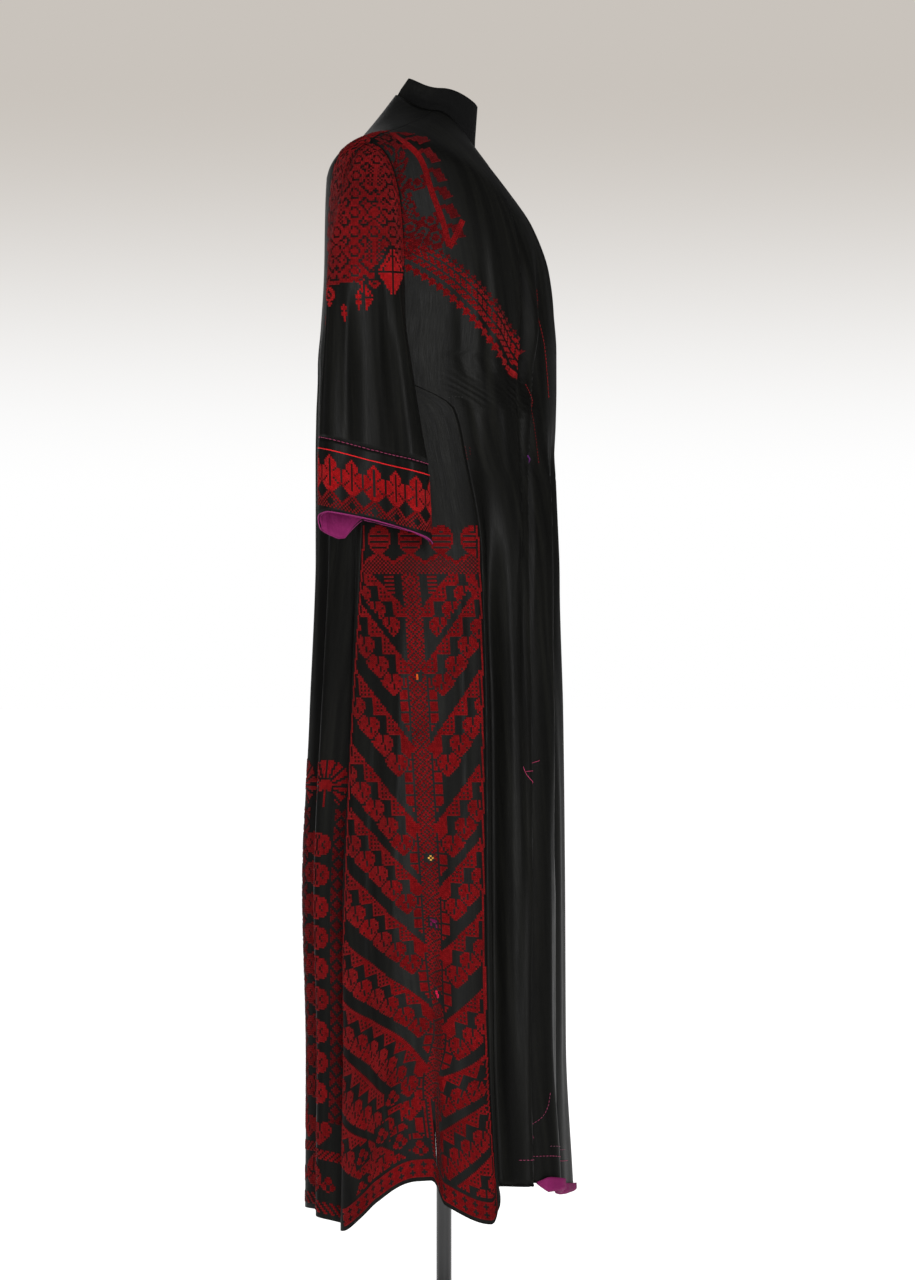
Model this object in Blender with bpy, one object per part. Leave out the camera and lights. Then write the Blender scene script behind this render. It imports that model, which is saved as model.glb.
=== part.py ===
"""A Palestinian thobe, the long straight dress with gored sides and hanging sleeves, on a dress form with a stand.

The wearer faces -Y, +X is the wearer's left and +Z is up. The origin is on the floor, on the stand's axis.
Sizes are in millimetres until a mesh is made. In the tables, a reach is a distance in front of the
stand's axis, so what lies behind it is negative.
"""

import math
from collections import namedtuple

import bmesh
import bpy
import numpy as np

MM = 0.001

# The cloth
CLOTH = 1.6
SEAM_GAP = 0.4
FACING = 1.0
FACING_GAP = 0.35
FORM_GAP = 0.9

# The stand
POLE_RADIUS = 9.5
BASE_RADIUS = 150.0
BASE_THICK = 9.0
BOSS_RADIUS = 22.0
BOSS_HEIGHT = 34.0
PIECE_GAP = 0.3
STAND_SIDES = 40

# The openings that are cut and faced
SLIT_END = 520.0
SIDE_SLIT_TOP = 1322.0
SIDE_SLIT_GAPE = 5.0
SIDE_MIDDLE = 0.33
CUFF_DEPTH = 105.0
CUFF_HEM_TILT = 41.0
HEM_TURN = 0.5

# How finely each piece is meshed
SHOULDER_ROWS = (0, 16, 34, 56, 80, 108)
ARMHOLE_ROWS = (135, 155, 178, 203, 229, 255, 281, 306, 330, 353, 375)
SKIRT_ROWS = (390, 402, 418, 440, 475, 520, 575, 640, 720, 810, 910, 1010, 1110, 1210, 1322, 1358, 1400)
SLEEVE_ROWS = (0, 10, 22, 38, 60, 90, 125, 170, 220, 270, 325)
FRONT_COLUMNS = (10, 9)
BACK_COLUMNS = (6, 16, 6)
SIDE_COLUMNS = (5, 8)
BACK_TURN = 138.0
FORM_COLUMNS = 36

Level = namedtuple(
    "Level", "name drop width front side back z_front z_side z_back square slit front_seam back_seam"
)
# Rings of the dress's outer face from neckline to hem. drop is the way down the cloth, width the half width,
# front, side and back the reach of those three points, slit half the front opening, and the last two
# columns the reach of the seams that hold the side panel, or of the armhole's edges above it.
BODY = (
    Level("neckline", 0, 66, 40, -12, -61, 1480, 1524, 1550, 2.0, 22, -12, -12),
    Level("neck_base", 30, 92, 56, -22, -77, 1460, 1513, 1528, 2.1, 21, -22, -22),
    Level("mid_shoulder", 80, 140, 83, -48, -109, 1425, 1494, 1486, 2.3, 20, -48, -48),
    Level("shoulder_tip", 135, 190, 112, -88, -146, 1378, 1467, 1440, 2.5, 19, -88, -88),
    Level("armhole_high", 200, 193, 131, -88, -148, 1325, 1400, 1384, 2.6, 17, -58, -117),
    Level("armhole_mid", 270, 190, 138, -88, -149, 1272, 1326, 1318, 2.6, 15, -51, -125),
    Level("armhole_low", 335, 187, 141, -88, -152, 1228, 1258, 1254, 2.6, 13, -60, -113),
    Level("underarm", 375, 186, 141, -88, -155, 1200, 1215, 1213, 2.6, 12, -88, -88),
    Level("side_top", 390, 186, 141, -84, -155, 1186, 1200, 1198, 2.6, 11, -80, -88),
    Level("side_shoulder", 440, 187, 140, -64, -157, 1140, 1150, 1148, 2.6, 8, 12, -91),
    Level("waist", 500, 190, 137, -46, -158, 1085, 1090, 1090, 2.6, 3, 26, -94),
    Level("hip", 620, 202, 137, -30, -158, 970, 970, 970, 2.7, 2, 46, -100),
    Level("thigh", 820, 222, 142, -28, -163, 770, 770, 770, 2.8, 2, 50, -112),
    Level("knee", 1020, 236, 144, -30, -171, 570, 570, 570, 2.8, 2, 51, -120),
    Level("calf", 1220, 246, 145, -30, -166, 370, 370, 370, 2.8, 2, 55, -126),
    Level("hem", 1400, 256, 154, -30, -167, 190, 190, 190, 2.8, 2, 66, -127),
)

Fold = namedtuple("Fold", "name hand top hip hem start full toward_front toward_back height")
# Long folds of the body. hand is +1 for the wearer's left. top, hip and hem are the fold's place in degrees
# from the centre front where it starts, at the hip and at the hem, start and full the drops where it begins
# and is whole, toward_front and toward_back its width in degrees on each side, and height how far it
# stands out, or sinks in where it is negative.
FOLDS = (
    Fold("trough ahead of side panel", -1, 66, 64.5, 61.5, 470, 720, 7, 2.8, -24),
    Fold("trough behind side panel", -1, 122, 124, 131, 480, 760, 2.8, 8, -22),
    Fold("pleat", -1, 26, 44.5, 51.5, 140, 330, 2.2, 6, 11),
    Fold("recess beyond pleat", -1, 19, 38, 45, 140, 330, 4, 2.4, -12),
    Fold("ridge from waist", -1, 20, 27, 33, 400, 640, 4, 5, 10),
    Fold("hollow from waist", -1, 9, 16, 20, 420, 640, 4, 3.5, -9),
    Fold("ridge by centre", -1, 3, 5, 6, 430, 700, 3.5, 4, 7),
    Fold("hollow on side panel", -1, 84, 86, 88, 560, 1100, 5, 6, -5),
    Fold("second hollow on side panel", -1, 102, 104, 110, 560, 1000, 6, 5, -6),
    Fold("ridge by back trough", -1, 134, 140, 143, 420, 900, 4, 4, 9),
    Fold("hollow of back", -1, 146, 150, 152, 260, 800, 4, 5, -9),
    Fold("ridge of back", -1, 158, 160, 161, 260, 900, 5, 5, 8),
    Fold("hollow by centre back", -1, 172, 171, 170, 300, 900, 4, 4, -8),
    Fold("trough ahead of side panel", 1, 66, 64.5, 62, 480, 740, 7, 3, -23),
    Fold("trough behind side panel", 1, 121, 123, 130, 500, 760, 3, 8, -23),
    Fold("pleat", 1, 27, 43, 50, 150, 350, 2.4, 6, 10),
    Fold("recess beyond pleat", 1, 18, 36, 42, 150, 350, 4, 2.6, -11),
    Fold("ridge from waist", 1, 20, 25, 29, 400, 660, 4, 4, 10),
    Fold("hollow from waist", 1, 8, 12, 15, 420, 660, 3.5, 4, -9),
    Fold("hollow on side panel", 1, 92, 92, 90, 560, 1100, 6, 5, -6),
    Fold("second hollow on side panel", 1, 107, 107, 104, 560, 1000, 5, 6, -5),
    Fold("ridge by back trough", 1, 132, 139, 141, 420, 900, 4, 4, 9),
    Fold("hollow of back", 1, 144, 148, 150, 260, 820, 4, 5, -10),
    Fold("ridge of back", 1, 157, 158, 159, 260, 900, 5, 5, 9),
    Fold("hollow by centre back", 1, 169, 169, 170, 300, 900, 4, 4, -7),
)
HIP = 620.0

HemPoint = namedtuple("HemPoint", "angle rise")
# How far the hem hangs above or below its ring, round the body from the wearer's right to the left.
HEM = (
    HemPoint(-180, -12),
    HemPoint(-150, -12),
    HemPoint(-125, -26),
    HemPoint(-104, 12),
    HemPoint(-88, 38),
    HemPoint(-85, 9),
    HemPoint(-69, -15),
    HemPoint(-62, 27),
    HemPoint(-40, 28),
    HemPoint(-14, 10),
    HemPoint(12, 1),
    HemPoint(40, 8),
    HemPoint(62, 14),
    HemPoint(70, -9),
    HemPoint(84, 11),
    HemPoint(88, 34),
    HemPoint(106, 8),
    HemPoint(125, -22),
    HemPoint(150, -8),
    HemPoint(180, -12),
)

SleeveRing = namedtuple("SleeveRing", "name drop outer_x outer_z inner_x inner_z front back square")
# Rings of a sleeve from just off the armhole to its hem. The outer line runs down from the shoulder tip and
# the inner line from the underarm; front and back are the reach of the sleeve's two edges.
SLEEVE = (
    SleeveRing("armhole", 0, 190, 1467, 186, 1215, -50, -126, 2.2),
    SleeveRing("set_in", 14, 204, 1460, 199, 1209, -49, -127, 2.2),
    SleeveRing("cap", 34, 219, 1445, 207, 1194, -48, -132, 2.2),
    SleeveRing("upper", 88, 239, 1396, 207, 1160, -46, -139, 2.3),
    SleeveRing("pendants", 160, 249, 1324, 206, 1128, -44, -141, 2.4),
    SleeveRing("middle", 250, 254, 1236, 206, 1096, -35, -145, 2.6),
    SleeveRing("forearm", 340, 258, 1146, 208, 1062, -24, -148, 2.8),
    SleeveRing("cuff_top", 385, 260, 1100, 210, 1046, -18, -149, 2.9),
    SleeveRing("cuff_hem", 490, 264, 998, 213, 977, -12, -149, 3.0),
)
SleeveFold = namedtuple("SleeveFold", "hand angle start full width height")
SLEEVE_FOLDS = (
    SleeveFold(-1, 2, 130, 300, 17, -13),
    SleeveFold(-1, 315, 150, 320, 15, 5),
    SleeveFold(-1, 38, 150, 320, 18, 6),
    SleeveFold(-1, 205, 150, 320, 18, 7),
    SleeveFold(1, 352, 130, 300, 18, -12),
    SleeveFold(1, 308, 150, 320, 15, 6),
    SleeveFold(1, 30, 150, 320, 17, 6),
    SleeveFold(1, 160, 150, 320, 18, 7),
)

FormRing = namedtuple("FormRing", "name width front side back z_front z_side z_back square")


# Rings of the dress form from its foot to its shoulders, and then those of its neck with its slanted top.
# Between the two it follows the cloth that rests on it.
TORSO = (
    FormRing("foot", 150, 92, -8, -104, 800, 800, 800, 2.2),
    FormRing("hip", 164, 102, -10, -120, 870, 870, 870, 2.2),
    FormRing("high_hip", 150, 96, -8, -112, 970, 970, 970, 2.2),
    FormRing("waist", 120, 84, -8, -94, 1080, 1080, 1080, 2.2),
    FormRing("ribs", 138, 102, -12, -116, 1170, 1170, 1170, 2.2),
    FormRing("bust", 156, 122, -20, -132, 1240, 1245, 1245, 2.3),
    FormRing("armpit", 166, 122, -48, -140, 1286, 1312, 1306, 2.4),
    FormRing("shoulder_cap", 176, 118, -72, -142, 1330, 1392, 1380, 2.5),
    FormRing("shoulder_edge", 182, 113, -77, -142, 1358, 1436, 1418, 2.5),
)
NECK = (
    FormRing("neck", 52, 39, -8, -54, 1494, 1537, 1558, 2.0),
    FormRing("neck_top", 48, 42, -4, -47, 1536, 1551, 1568, 2.0),
    FormRing("neck_rim", 45, 40, -4, -45, 1539, 1554, 1571, 2.0),
)


def column(table, name):
    return np.array([getattr(row, name) for row in table], float)


def smooth(x, xs, ys):
    """Reads a column of a table between its rows, on a smooth curve that never runs past them."""
    rises = np.diff(ys) / np.diff(xs)
    before, after = rises[:-1], rises[1:]
    turning = before * after <= 0
    total = np.where(turning, 1, before + after)
    slopes = np.concatenate([rises[:1], np.where(turning, 0, 2 * before * after / total), rises[-1:]])
    i = np.clip(np.searchsorted(xs, x) - 1, 0, len(xs) - 2)
    step = xs[i + 1] - xs[i]
    t = np.clip((x - xs[i]) / step, 0, 1)
    start = ys[i] * (1 + 2 * t) + slopes[i] * step * t
    end = ys[i + 1] * (3 - 2 * t) + slopes[i + 1] * step * (t - 1)
    return start * (1 - t) ** 2 + end * t**2


def eased(x, start, full):
    """Rises smoothly from 0 at start to 1 at full."""
    t = np.clip((x - start) / (full - start), 0, 1)
    return t * t * (3 - 2 * t)


def wrapped(angle):
    return (angle + 180) % 360 - 180


def at_drop(name, drop):
    return smooth(drop, column(BODY, "drop"), column(BODY, name))


def ring_point(angle, ring):
    """Points of a ring, at degrees from the centre front, and its outward direction in plan."""
    turn = np.radians(np.abs(wrapped(angle)))
    hand = np.where(wrapped(angle) < 0, -1.0, 1.0)
    ahead = np.cos(turn)
    across = np.sin(turn)
    power = 2 / ring["square"]
    facing = np.where(ahead > 0, 1.0, -1.0)
    depth = np.where(ahead > 0, ring["front"] - ring["side"], ring["side"] - ring["back"])
    end_z = np.where(ahead > 0, ring["z_front"], ring["z_back"])
    share_x = np.abs(across) ** power
    share_y = np.abs(ahead) ** power
    x = hand * ring["width"] * share_x
    reach = ring["side"] + facing * depth * share_y
    z = end_z + (ring["z_side"] - end_z) * np.abs(across) ** 2.4
    out_x = hand * share_x ** (ring["square"] - 1) / ring["width"]
    out_y = -facing * share_y ** (ring["square"] - 1) / depth
    length = np.hypot(out_x, out_y)
    return np.stack([x, -reach, z], -1), np.stack([out_x / length, out_y / length, 0 * z], -1)


def fold_angle(fold, drop):
    """Where a fold lies at a drop, in degrees from the centre front on its own side."""
    turning = np.array([fold.top, fold.hip, fold.hem], float)
    return smooth(drop, np.array([fold.start, HIP, BODY[-1].drop], float), turning)


def fold_height(angle, drop):
    """How far the body's folds move its cloth outward."""
    moved = np.zeros(np.broadcast(angle, drop).shape)
    for fold in FOLDS:
        away = fold.hand * wrapped(angle - fold.hand * fold_angle(fold, drop))
        width = np.where(away < 0, fold.toward_front, fold.toward_back)
        shape = np.exp(-((away / width) ** 2))
        moved = moved + fold.height * eased(drop, fold.start, fold.full) * shape
    return moved


def body_point(angle, drop):
    """Points of the dress's outer face."""
    ring = {name: at_drop(name, drop) for name in Level._fields[2:10]}
    point, outward = ring_point(angle, ring)
    hem_rise = smooth(wrapped(angle), column(HEM, "angle"), column(HEM, "rise"))
    point = point + outward * fold_height(angle, drop)[..., None]
    point[..., 2] += hem_rise * eased(drop, 900, BODY[-1].drop)
    return point


def armhole_lift(drop):
    """Height on the armhole, from 1 at the shoulder tip to -1 at the underarm."""
    height = at_drop("z_side", drop)
    tip, low = at_drop("z_side", ARMHOLE_ROWS[0]), at_drop("z_side", ARMHOLE_ROWS[-1])
    return np.clip(2 * (height - low) / (tip - low) - 1, -1, 1)


def seam_reach(name, drop):
    """The reach of a seam. Down to the shoulder tip both seams are the one on the shoulder's ridge, and on
    to the underarm they are the edges of the armhole, an upright oval that is the sleeve's first ring."""
    hole = SLEEVE[0]
    half = (hole.front - hole.back) / 2 * (1 if name == "front_seam" else -1)
    oval = (1 - np.abs(armhole_lift(drop)) ** hole.square) ** (1 / hole.square)
    edge = (hole.front + hole.back) / 2 + half * oval
    below = np.where(drop < ARMHOLE_ROWS[-1], edge, at_drop(name, drop))
    return np.where(drop <= ARMHOLE_ROWS[0], at_drop("side", drop), below)


def seam_angle(reach, drop):
    """The angle at which the body's ring has this reach."""
    front, side, back = (at_drop(name, drop) for name in ("front", "side", "back"))
    ahead = reach >= side
    share = np.where(ahead, (reach - side) / (front - side), (side - reach) / (side - back))
    turned = np.degrees(np.arccos(np.clip(share, 0, 1) ** (at_drop("square", drop) / 2)))
    return np.where(ahead, turned, 180 - turned)


def slit_angle(half_width, drop):
    """The angle at which the body's front is this far from the centre."""
    share = half_width / at_drop("width", drop)
    return np.degrees(np.arcsin(share ** (at_drop("square", drop) / 2)))


def direction_of(point, u, v, step_u=0.02, step_v=0.2):
    """The outward normals of a surface given by a function of two measures."""
    along_u = point(u + step_u, v) - point(u - step_u, v)
    along_v = point(u, v + step_v) - point(u, v - step_v)
    normal = np.cross(along_v, along_u)
    return normal / np.linalg.norm(normal, axis=-1, keepdims=True)


def body_normal(angle, drop):
    low, high = BODY[0].drop + 0.3, BODY[-1].drop - 0.3
    return direction_of(body_point, angle, np.clip(drop, low, high))


def shell(name, outer, inner, splits=(), closed_rows=False):
    """A cloth wall between two grids of points. splits lists a row, a column and two points where the grid
    is cut open: there the faces on the far side of the cut meet these points and not the grid's own."""
    rows, columns = outer.shape[:2]
    work = bmesh.new()
    vertices = {}
    for r in range(rows):
        for c in range(columns):
            for layer, grid in enumerate((outer, inner)):
                vertices[layer, r, c, 0] = work.verts.new(grid[r, c] * MM)
    for r, c, moved_outer, moved_inner in splits:
        for layer, moved in enumerate((moved_outer, moved_inner)):
            vertices[layer, r, c, 1] = work.verts.new(moved * MM)
    edges = set()
    spans = columns if closed_rows else columns - 1
    for r in range(rows - 1):
        for c in range(spans):
            after = (c + 1) % columns
            corners = [(r, c, 1), (r + 1, c, 1), (r + 1, after, 0), (r, after, 0)]
            keys = [(i, j, k if (0, i, j, k) in vertices else 0) for i, j, k in corners]
            for triangle in (keys[:3], [keys[0], *keys[2:]]):
                work.faces.new([vertices[(0, *key)] for key in triangle])
                work.faces.new([vertices[(1, *key)] for key in reversed(triangle)])
            for a, b in zip(keys, keys[1:] + keys[:1]):
                if (b, a) in edges:
                    edges.remove((b, a))
                else:
                    edges.add((a, b))
    for a, b in edges:
        work.faces.new([vertices[0, *b], vertices[0, *a], vertices[1, *a]])
        work.faces.new([vertices[0, *b], vertices[1, *a], vertices[1, *b]])
    bmesh.ops.recalc_face_normals(work, faces=work.faces)
    return mesh_object(name, work)


def mesh_object(name, work):
    mesh = bpy.data.meshes.new(name)
    work.to_mesh(mesh)
    work.free()
    made = bpy.data.objects.new(name, mesh)
    bpy.context.scene.collection.objects.link(made)
    return made


def edge_inside(seam, drop, towards):
    """The angle at half a seam's gap from a seam, on the side that towards gives."""
    across = body_point(seam(drop) + 0.01, drop) - body_point(seam(drop) - 0.01, drop)
    along = body_point(seam(drop + 0.5), drop + 0.5) - body_point(seam(drop - 0.5), drop - 0.5)
    across_length = np.linalg.norm(across, axis=-1)
    slant = np.linalg.norm(np.cross(across, along), axis=-1) / across_length / np.linalg.norm(along, axis=-1)
    return seam(drop) + towards * SEAM_GAP / 2 / (across_length / 0.02) / slant


def spread(edges, columns):
    """A grid's angles in each row, with a number of even columns for each span between two edges."""
    spans = [
        low[:, None] + (high - low)[:, None] * np.arange(count) / count
        for low, high, count in zip(edges, edges[1:], columns)
    ]
    return np.concatenate([*spans, edges[-1][:, None]], axis=1)


def body_panel(drops, seam_start, seam_end, turns, columns):
    """The outer grid and the wall's thickness vectors of a panel between two seams, given as functions.
    At each seam the wall ends square to the cloth there, so that it meets its neighbour evenly."""
    towards = np.sign(seam_end(drops[-1:]) - seam_start(drops[-1:]))
    start = edge_inside(seam_start, drops, towards)
    end = edge_inside(seam_end, drops, -towards)
    angle = spread([start, *turns, end], columns)
    drop = np.broadcast_to(drops[:, None], angle.shape)
    leaning = angle.copy()
    leaning[:, 0] = seam_start(drops)
    leaning[:, -1] = seam_end(drops)
    return body_point(angle, drop), -CLOTH * body_normal(leaning, drop)


def front_seam(drop):
    return seam_angle(seam_reach("front_seam", drop), drop)


def back_seam(drop):
    return seam_angle(seam_reach("back_seam", drop), drop)


def armhole_ring():
    """Angles and drops of the armhole's edge, from the shoulder tip down the front and up the back."""
    down = np.array(ARMHOLE_ROWS, float)
    up = down[-2:0:-1]
    return np.concatenate([front_seam(down), back_seam(up)]), np.concatenate([down, up])


def at_sleeve(name, drop):
    return smooth(drop, column(SLEEVE, "drop"), column(SLEEVE, name))


def sleeve_turns():
    """Where each of the armhole's points lies round the sleeve, in degrees from its outer line by way of
    the front, so that it stays at its own height."""
    lift = armhole_lift(np.array(ARMHOLE_ROWS, float))
    down = np.degrees(np.arccos(np.sign(lift) * np.abs(lift) ** (SLEEVE[0].square / 2)))
    return np.concatenate([down, 360 - down[-2:0:-1]])


def sleeve_point(hand, around, drop):
    """Points of a sleeve's outer face, at degrees round from its outer line by way of the front."""
    turn = np.radians(around)
    power = 2 / at_sleeve("square", drop)
    lift = np.sign(np.cos(turn)) * np.abs(np.cos(turn)) ** power
    ahead = np.sign(np.sin(turn)) * np.abs(np.sin(turn)) ** power
    outer_x, outer_z, inner_x, inner_z, front, back = (
        at_sleeve(name, drop) for name in ("outer_x", "outer_z", "inner_x", "inner_z", "front", "back")
    )
    x = (outer_x + inner_x) / 2 + lift * (outer_x - inner_x) / 2
    z = (outer_z + inner_z) / 2 + lift * (outer_z - inner_z) / 2
    reach = (front + back) / 2 + ahead * (front - back) / 2
    z = z - CUFF_HEM_TILT * ahead * eased(drop, SLEEVE[-1].drop - CUFF_DEPTH - 20, SLEEVE[-1].drop) / 2
    pushed = np.zeros(np.broadcast(around, drop).shape)
    for fold in SLEEVE_FOLDS:
        away = (around - fold.angle + 180) % 360 - 180
        grown = eased(drop, fold.start, fold.full) * (fold.hand == hand)
        pushed = pushed + fold.height * grown * np.exp(-((away / fold.width) ** 2))
    x = x + pushed * np.sign(lift) * np.abs(lift) ** 0.5
    return np.stack([hand * x, -reach, z], -1)


def ring_normals(points, along):
    """Outward normals round a ring of points, from a vector down the cloth at each of them."""
    tangent = np.roll(points, -1, axis=0) - np.roll(points, 1, axis=0)
    normal = np.cross(tangent, along)
    outward = points - points.mean(axis=0)
    flip = np.sign(np.sum(np.sum(normal * outward, axis=-1)))
    return flip * normal / np.linalg.norm(normal, axis=-1, keepdims=True)


def mitred(first, second):
    """The thickness vector where walls with these two outward normals meet."""
    return -CLOTH * (first + second) / (1 + np.sum(first * second, axis=-1, keepdims=True))


def armhole_seam(hand):
    """The armhole's edge, where the sleeve leads from it, and the mitre that body and sleeve share."""
    angle, drop = armhole_ring()
    edge = body_point(hand * angle, drop)
    body_out = body_normal(hand * angle, np.clip(drop, 0.5, None))
    next_ring = sleeve_point(hand, sleeve_turns(), np.full(len(edge), float(SLEEVE_ROWS[1])))
    leading = next_ring - edge
    leading = leading / np.linalg.norm(leading, axis=-1, keepdims=True)
    sleeve_out = ring_normals(edge, leading)
    return edge, leading, mitred(body_out, sleeve_out)


def set_armhole(thickness, hand, rows, edge_column, order):
    """Gives a panel's armhole edge the mitre that the sleeve has there."""
    _, _, mitre = armhole_seam(hand)
    for row, point in zip(rows, order):
        thickness[row, edge_column] = mitre[point]


def body_drops():
    """The rows of the front and of the back, and those of them along the armhole."""
    drops = np.array(SHOULDER_ROWS + ARMHOLE_ROWS + SKIRT_ROWS, float)
    first = len(SHOULDER_ROWS)
    return drops, range(first, first + len(ARMHOLE_ROWS))


def make_front():
    """The front in one piece from the shoulder seams to the hem, slit from the neckline to the waist."""
    drops, armhole_rows = body_drops()
    halves = []
    for hand in (-1, 1):
        def middle(drop):
            return hand * np.where(drop < SLIT_END, slit_angle(at_drop("slit", drop), drop), 0)

        def seam(drop):
            return hand * front_seam(drop)

        pleat = next(fold for fold in FOLDS if fold.name == "pleat" and fold.hand == hand)
        outer, thickness = body_panel(drops, middle, seam, [hand * fold_angle(pleat, drops)], FRONT_COLUMNS)
        outer[:, 0] = body_point(middle(drops), drops)
        set_armhole(thickness, hand, armhole_rows, -1, range(len(ARMHOLE_ROWS)))
        halves.append((outer, outer + thickness))
    (right, right_inner), (left, left_inner) = halves
    outer = np.concatenate([right[:, ::-1], left[:, 1:]], axis=1)
    inner = np.concatenate([right_inner[:, ::-1], left_inner[:, 1:]], axis=1)
    splits = [
        (row, sum(FRONT_COLUMNS), left[row, 0], left_inner[row, 0])
        for row, drop in enumerate(drops) if drop < SLIT_END
    ]
    return shell("front", outer, inner, splits), outer, inner


def make_back():
    """The back in one piece, from shoulder seam to shoulder seam and down to the hem."""
    drops, armhole_rows = body_drops()
    turns = [np.full(len(drops), angle) for angle in (BACK_TURN, 360 - BACK_TURN)]
    outer, thickness = body_panel(drops, back_seam, lambda drop: 360 - back_seam(drop), turns, BACK_COLUMNS)
    points = 2 * len(ARMHOLE_ROWS) - 2
    order = [(points - step) % points for step in range(len(ARMHOLE_ROWS))]
    set_armhole(thickness, 1, armhole_rows, 0, order)
    set_armhole(thickness, -1, armhole_rows, -1, order)
    return shell("back", outer, outer + thickness)


def make_side_panel(name, hand):
    """The gored side panel, from just under the armhole to the hem, with a short slit up its middle."""
    drops = np.array(SKIRT_ROWS, float)
    drops[0] += SEAM_GAP
    middle = front_seam(drops) + SIDE_MIDDLE * (back_seam(drops) - front_seam(drops))
    outer, thickness = body_panel(
        drops, lambda drop: hand * front_seam(drop), lambda drop: hand * back_seam(drop), [hand * middle],
        SIDE_COLUMNS,
    )
    inner = outer + thickness
    column_at_slit = SIDE_COLUMNS[0]
    splits = []
    for row, drop in enumerate(drops):
        if drop > SIDE_SLIT_TOP:
            share = (drop - SIDE_SLIT_TOP) / (drops[-1] - SIDE_SLIT_TOP)
            aside = math.degrees(SIDE_SLIT_GAPE * share / 2 / at_drop("width", drop))
            for edge in (-1, 1):
                angle = np.array([hand * (middle[row] + edge * aside)])
                point = body_point(angle, np.array([drop]))[0]
                wall_inner = point + thickness[row, column_at_slit]
                if edge < 0:
                    outer[row, column_at_slit], inner[row, column_at_slit] = point, wall_inner
                else:
                    splits.append((row, column_at_slit, point, wall_inner))
    return shell(name, outer, inner, splits)


def sleeve_grid(hand, rows):
    """A sleeve's outer grid and its wall's thickness vectors, in rings down from the armhole."""
    edge, leading, mitre = armhole_seam(hand)
    around = sleeve_turns()
    around_grid, drop_grid = np.meshgrid(around, np.array(rows, float))
    outer = sleeve_point(hand, around_grid, drop_grid)
    along = sleeve_point(hand, around_grid, drop_grid + 1) - sleeve_point(hand, around_grid, drop_grid - 1)
    thickness = np.stack([-CLOTH * ring_normals(ring, down) for ring, down in zip(outer, along)])
    if rows[0] == 0:
        outer[0] = edge + leading * SEAM_GAP
        thickness[0] = mitre
    return outer, thickness


def make_sleeve(name, hand):
    """A straight sleeve from the armhole to its cuff's seam."""
    outer, thickness = sleeve_grid(hand, SLEEVE_ROWS + (SLEEVE[-1].drop - CUFF_DEPTH,))
    upward = outer[-2] - outer[-1]
    outer[-1] += upward / np.linalg.norm(upward, axis=-1, keepdims=True) * SEAM_GAP
    return shell(name, outer, outer + thickness, closed_rows=True)


def make_cuff(name, hand):
    """The broad embroidered band that ends a sleeve."""
    hem = SLEEVE[-1].drop
    outer, thickness = sleeve_grid(hand, [hem - CUFF_DEPTH * share for share in (1, 0.64, 0.32, 0)])
    return shell(name, outer, outer + thickness, closed_rows=True), outer, outer + thickness


def make_facing(name, outer, inner, closed_rows=False):
    """A facing on the inside of a wall, made from the wall's own points moved inward."""
    inward = (inner - outer) / np.linalg.norm(inner - outer, axis=-1, keepdims=True)
    near = inner + inward * FACING_GAP
    return shell(name, near, near + inward * FACING, closed_rows=closed_rows)


def make_hem_facing(outer, inner):
    """The coloured facing inside the front's hem, just short of the edge where the hem turns over it."""
    trim = slice(2, -2)
    rows = []
    for grid in (outer, inner):
        above, hem = grid[-2, trim], grid[-1, trim]
        short = hem + (above - hem) * HEM_TURN / (SKIRT_ROWS[-1] - SKIRT_ROWS[-2])
        rows.append(np.stack([above, short]))
    return make_facing("hem_facing", *rows)


def make_form():
    """The smooth limbless form: hips to slanted neck, closed at its foot and at the top of its neck."""
    angles = wrapped(np.arange(FORM_COLUMNS) * 360 / FORM_COLUMNS)
    rings = [form_ring(row, angles) for row in TORSO]
    for drop in SHOULDER_ROWS[::-1]:
        drops = np.full(FORM_COLUMNS, float(drop))
        rings.append(body_point(angles, drops) - body_normal(angles, drops) * (CLOTH + FORM_GAP))
    rings += [form_ring(row, angles) for row in NECK]
    work = bmesh.new()
    made = [[work.verts.new(point * MM) for point in ring] for ring in rings]
    for low, high in zip(made, made[1:]):
        for i in range(FORM_COLUMNS):
            after = (i + 1) % FORM_COLUMNS
            work.faces.new([high[i], low[i], low[after]])
            work.faces.new([high[i], low[after], high[after]])
    work.faces.new(made[0][::-1])
    work.faces.new(made[-1])
    bmesh.ops.recalc_face_normals(work, faces=work.faces)
    return mesh_object("dress_form", work)


def form_ring(row, angles):
    ring = {name: np.full(len(angles), float(getattr(row, name))) for name in FormRing._fields[1:]}
    return ring_point(angles, ring)[0]


def make_turned(name, profile):
    """A round piece of the stand, turned from (radius, height) points that run up its outer side."""
    work = bmesh.new()
    rings = []
    for radius, height in profile:
        circle = bmesh.ops.create_circle(work, segments=STAND_SIDES, radius=radius * MM)["verts"]
        for vertex in circle:
            vertex.co.z = height * MM
        rings.append(circle)
    for low, high in zip(rings, rings[1:]):
        edges = [e for e in work.edges if all(v in low or v in high for v in e.verts)]
        bmesh.ops.bridge_loops(work, edges=edges)
    for ring in (rings[0], rings[-1]):
        work.faces.new(ring)
    bmesh.ops.recalc_face_normals(work, faces=work.faces)
    return mesh_object(name, work)


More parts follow.
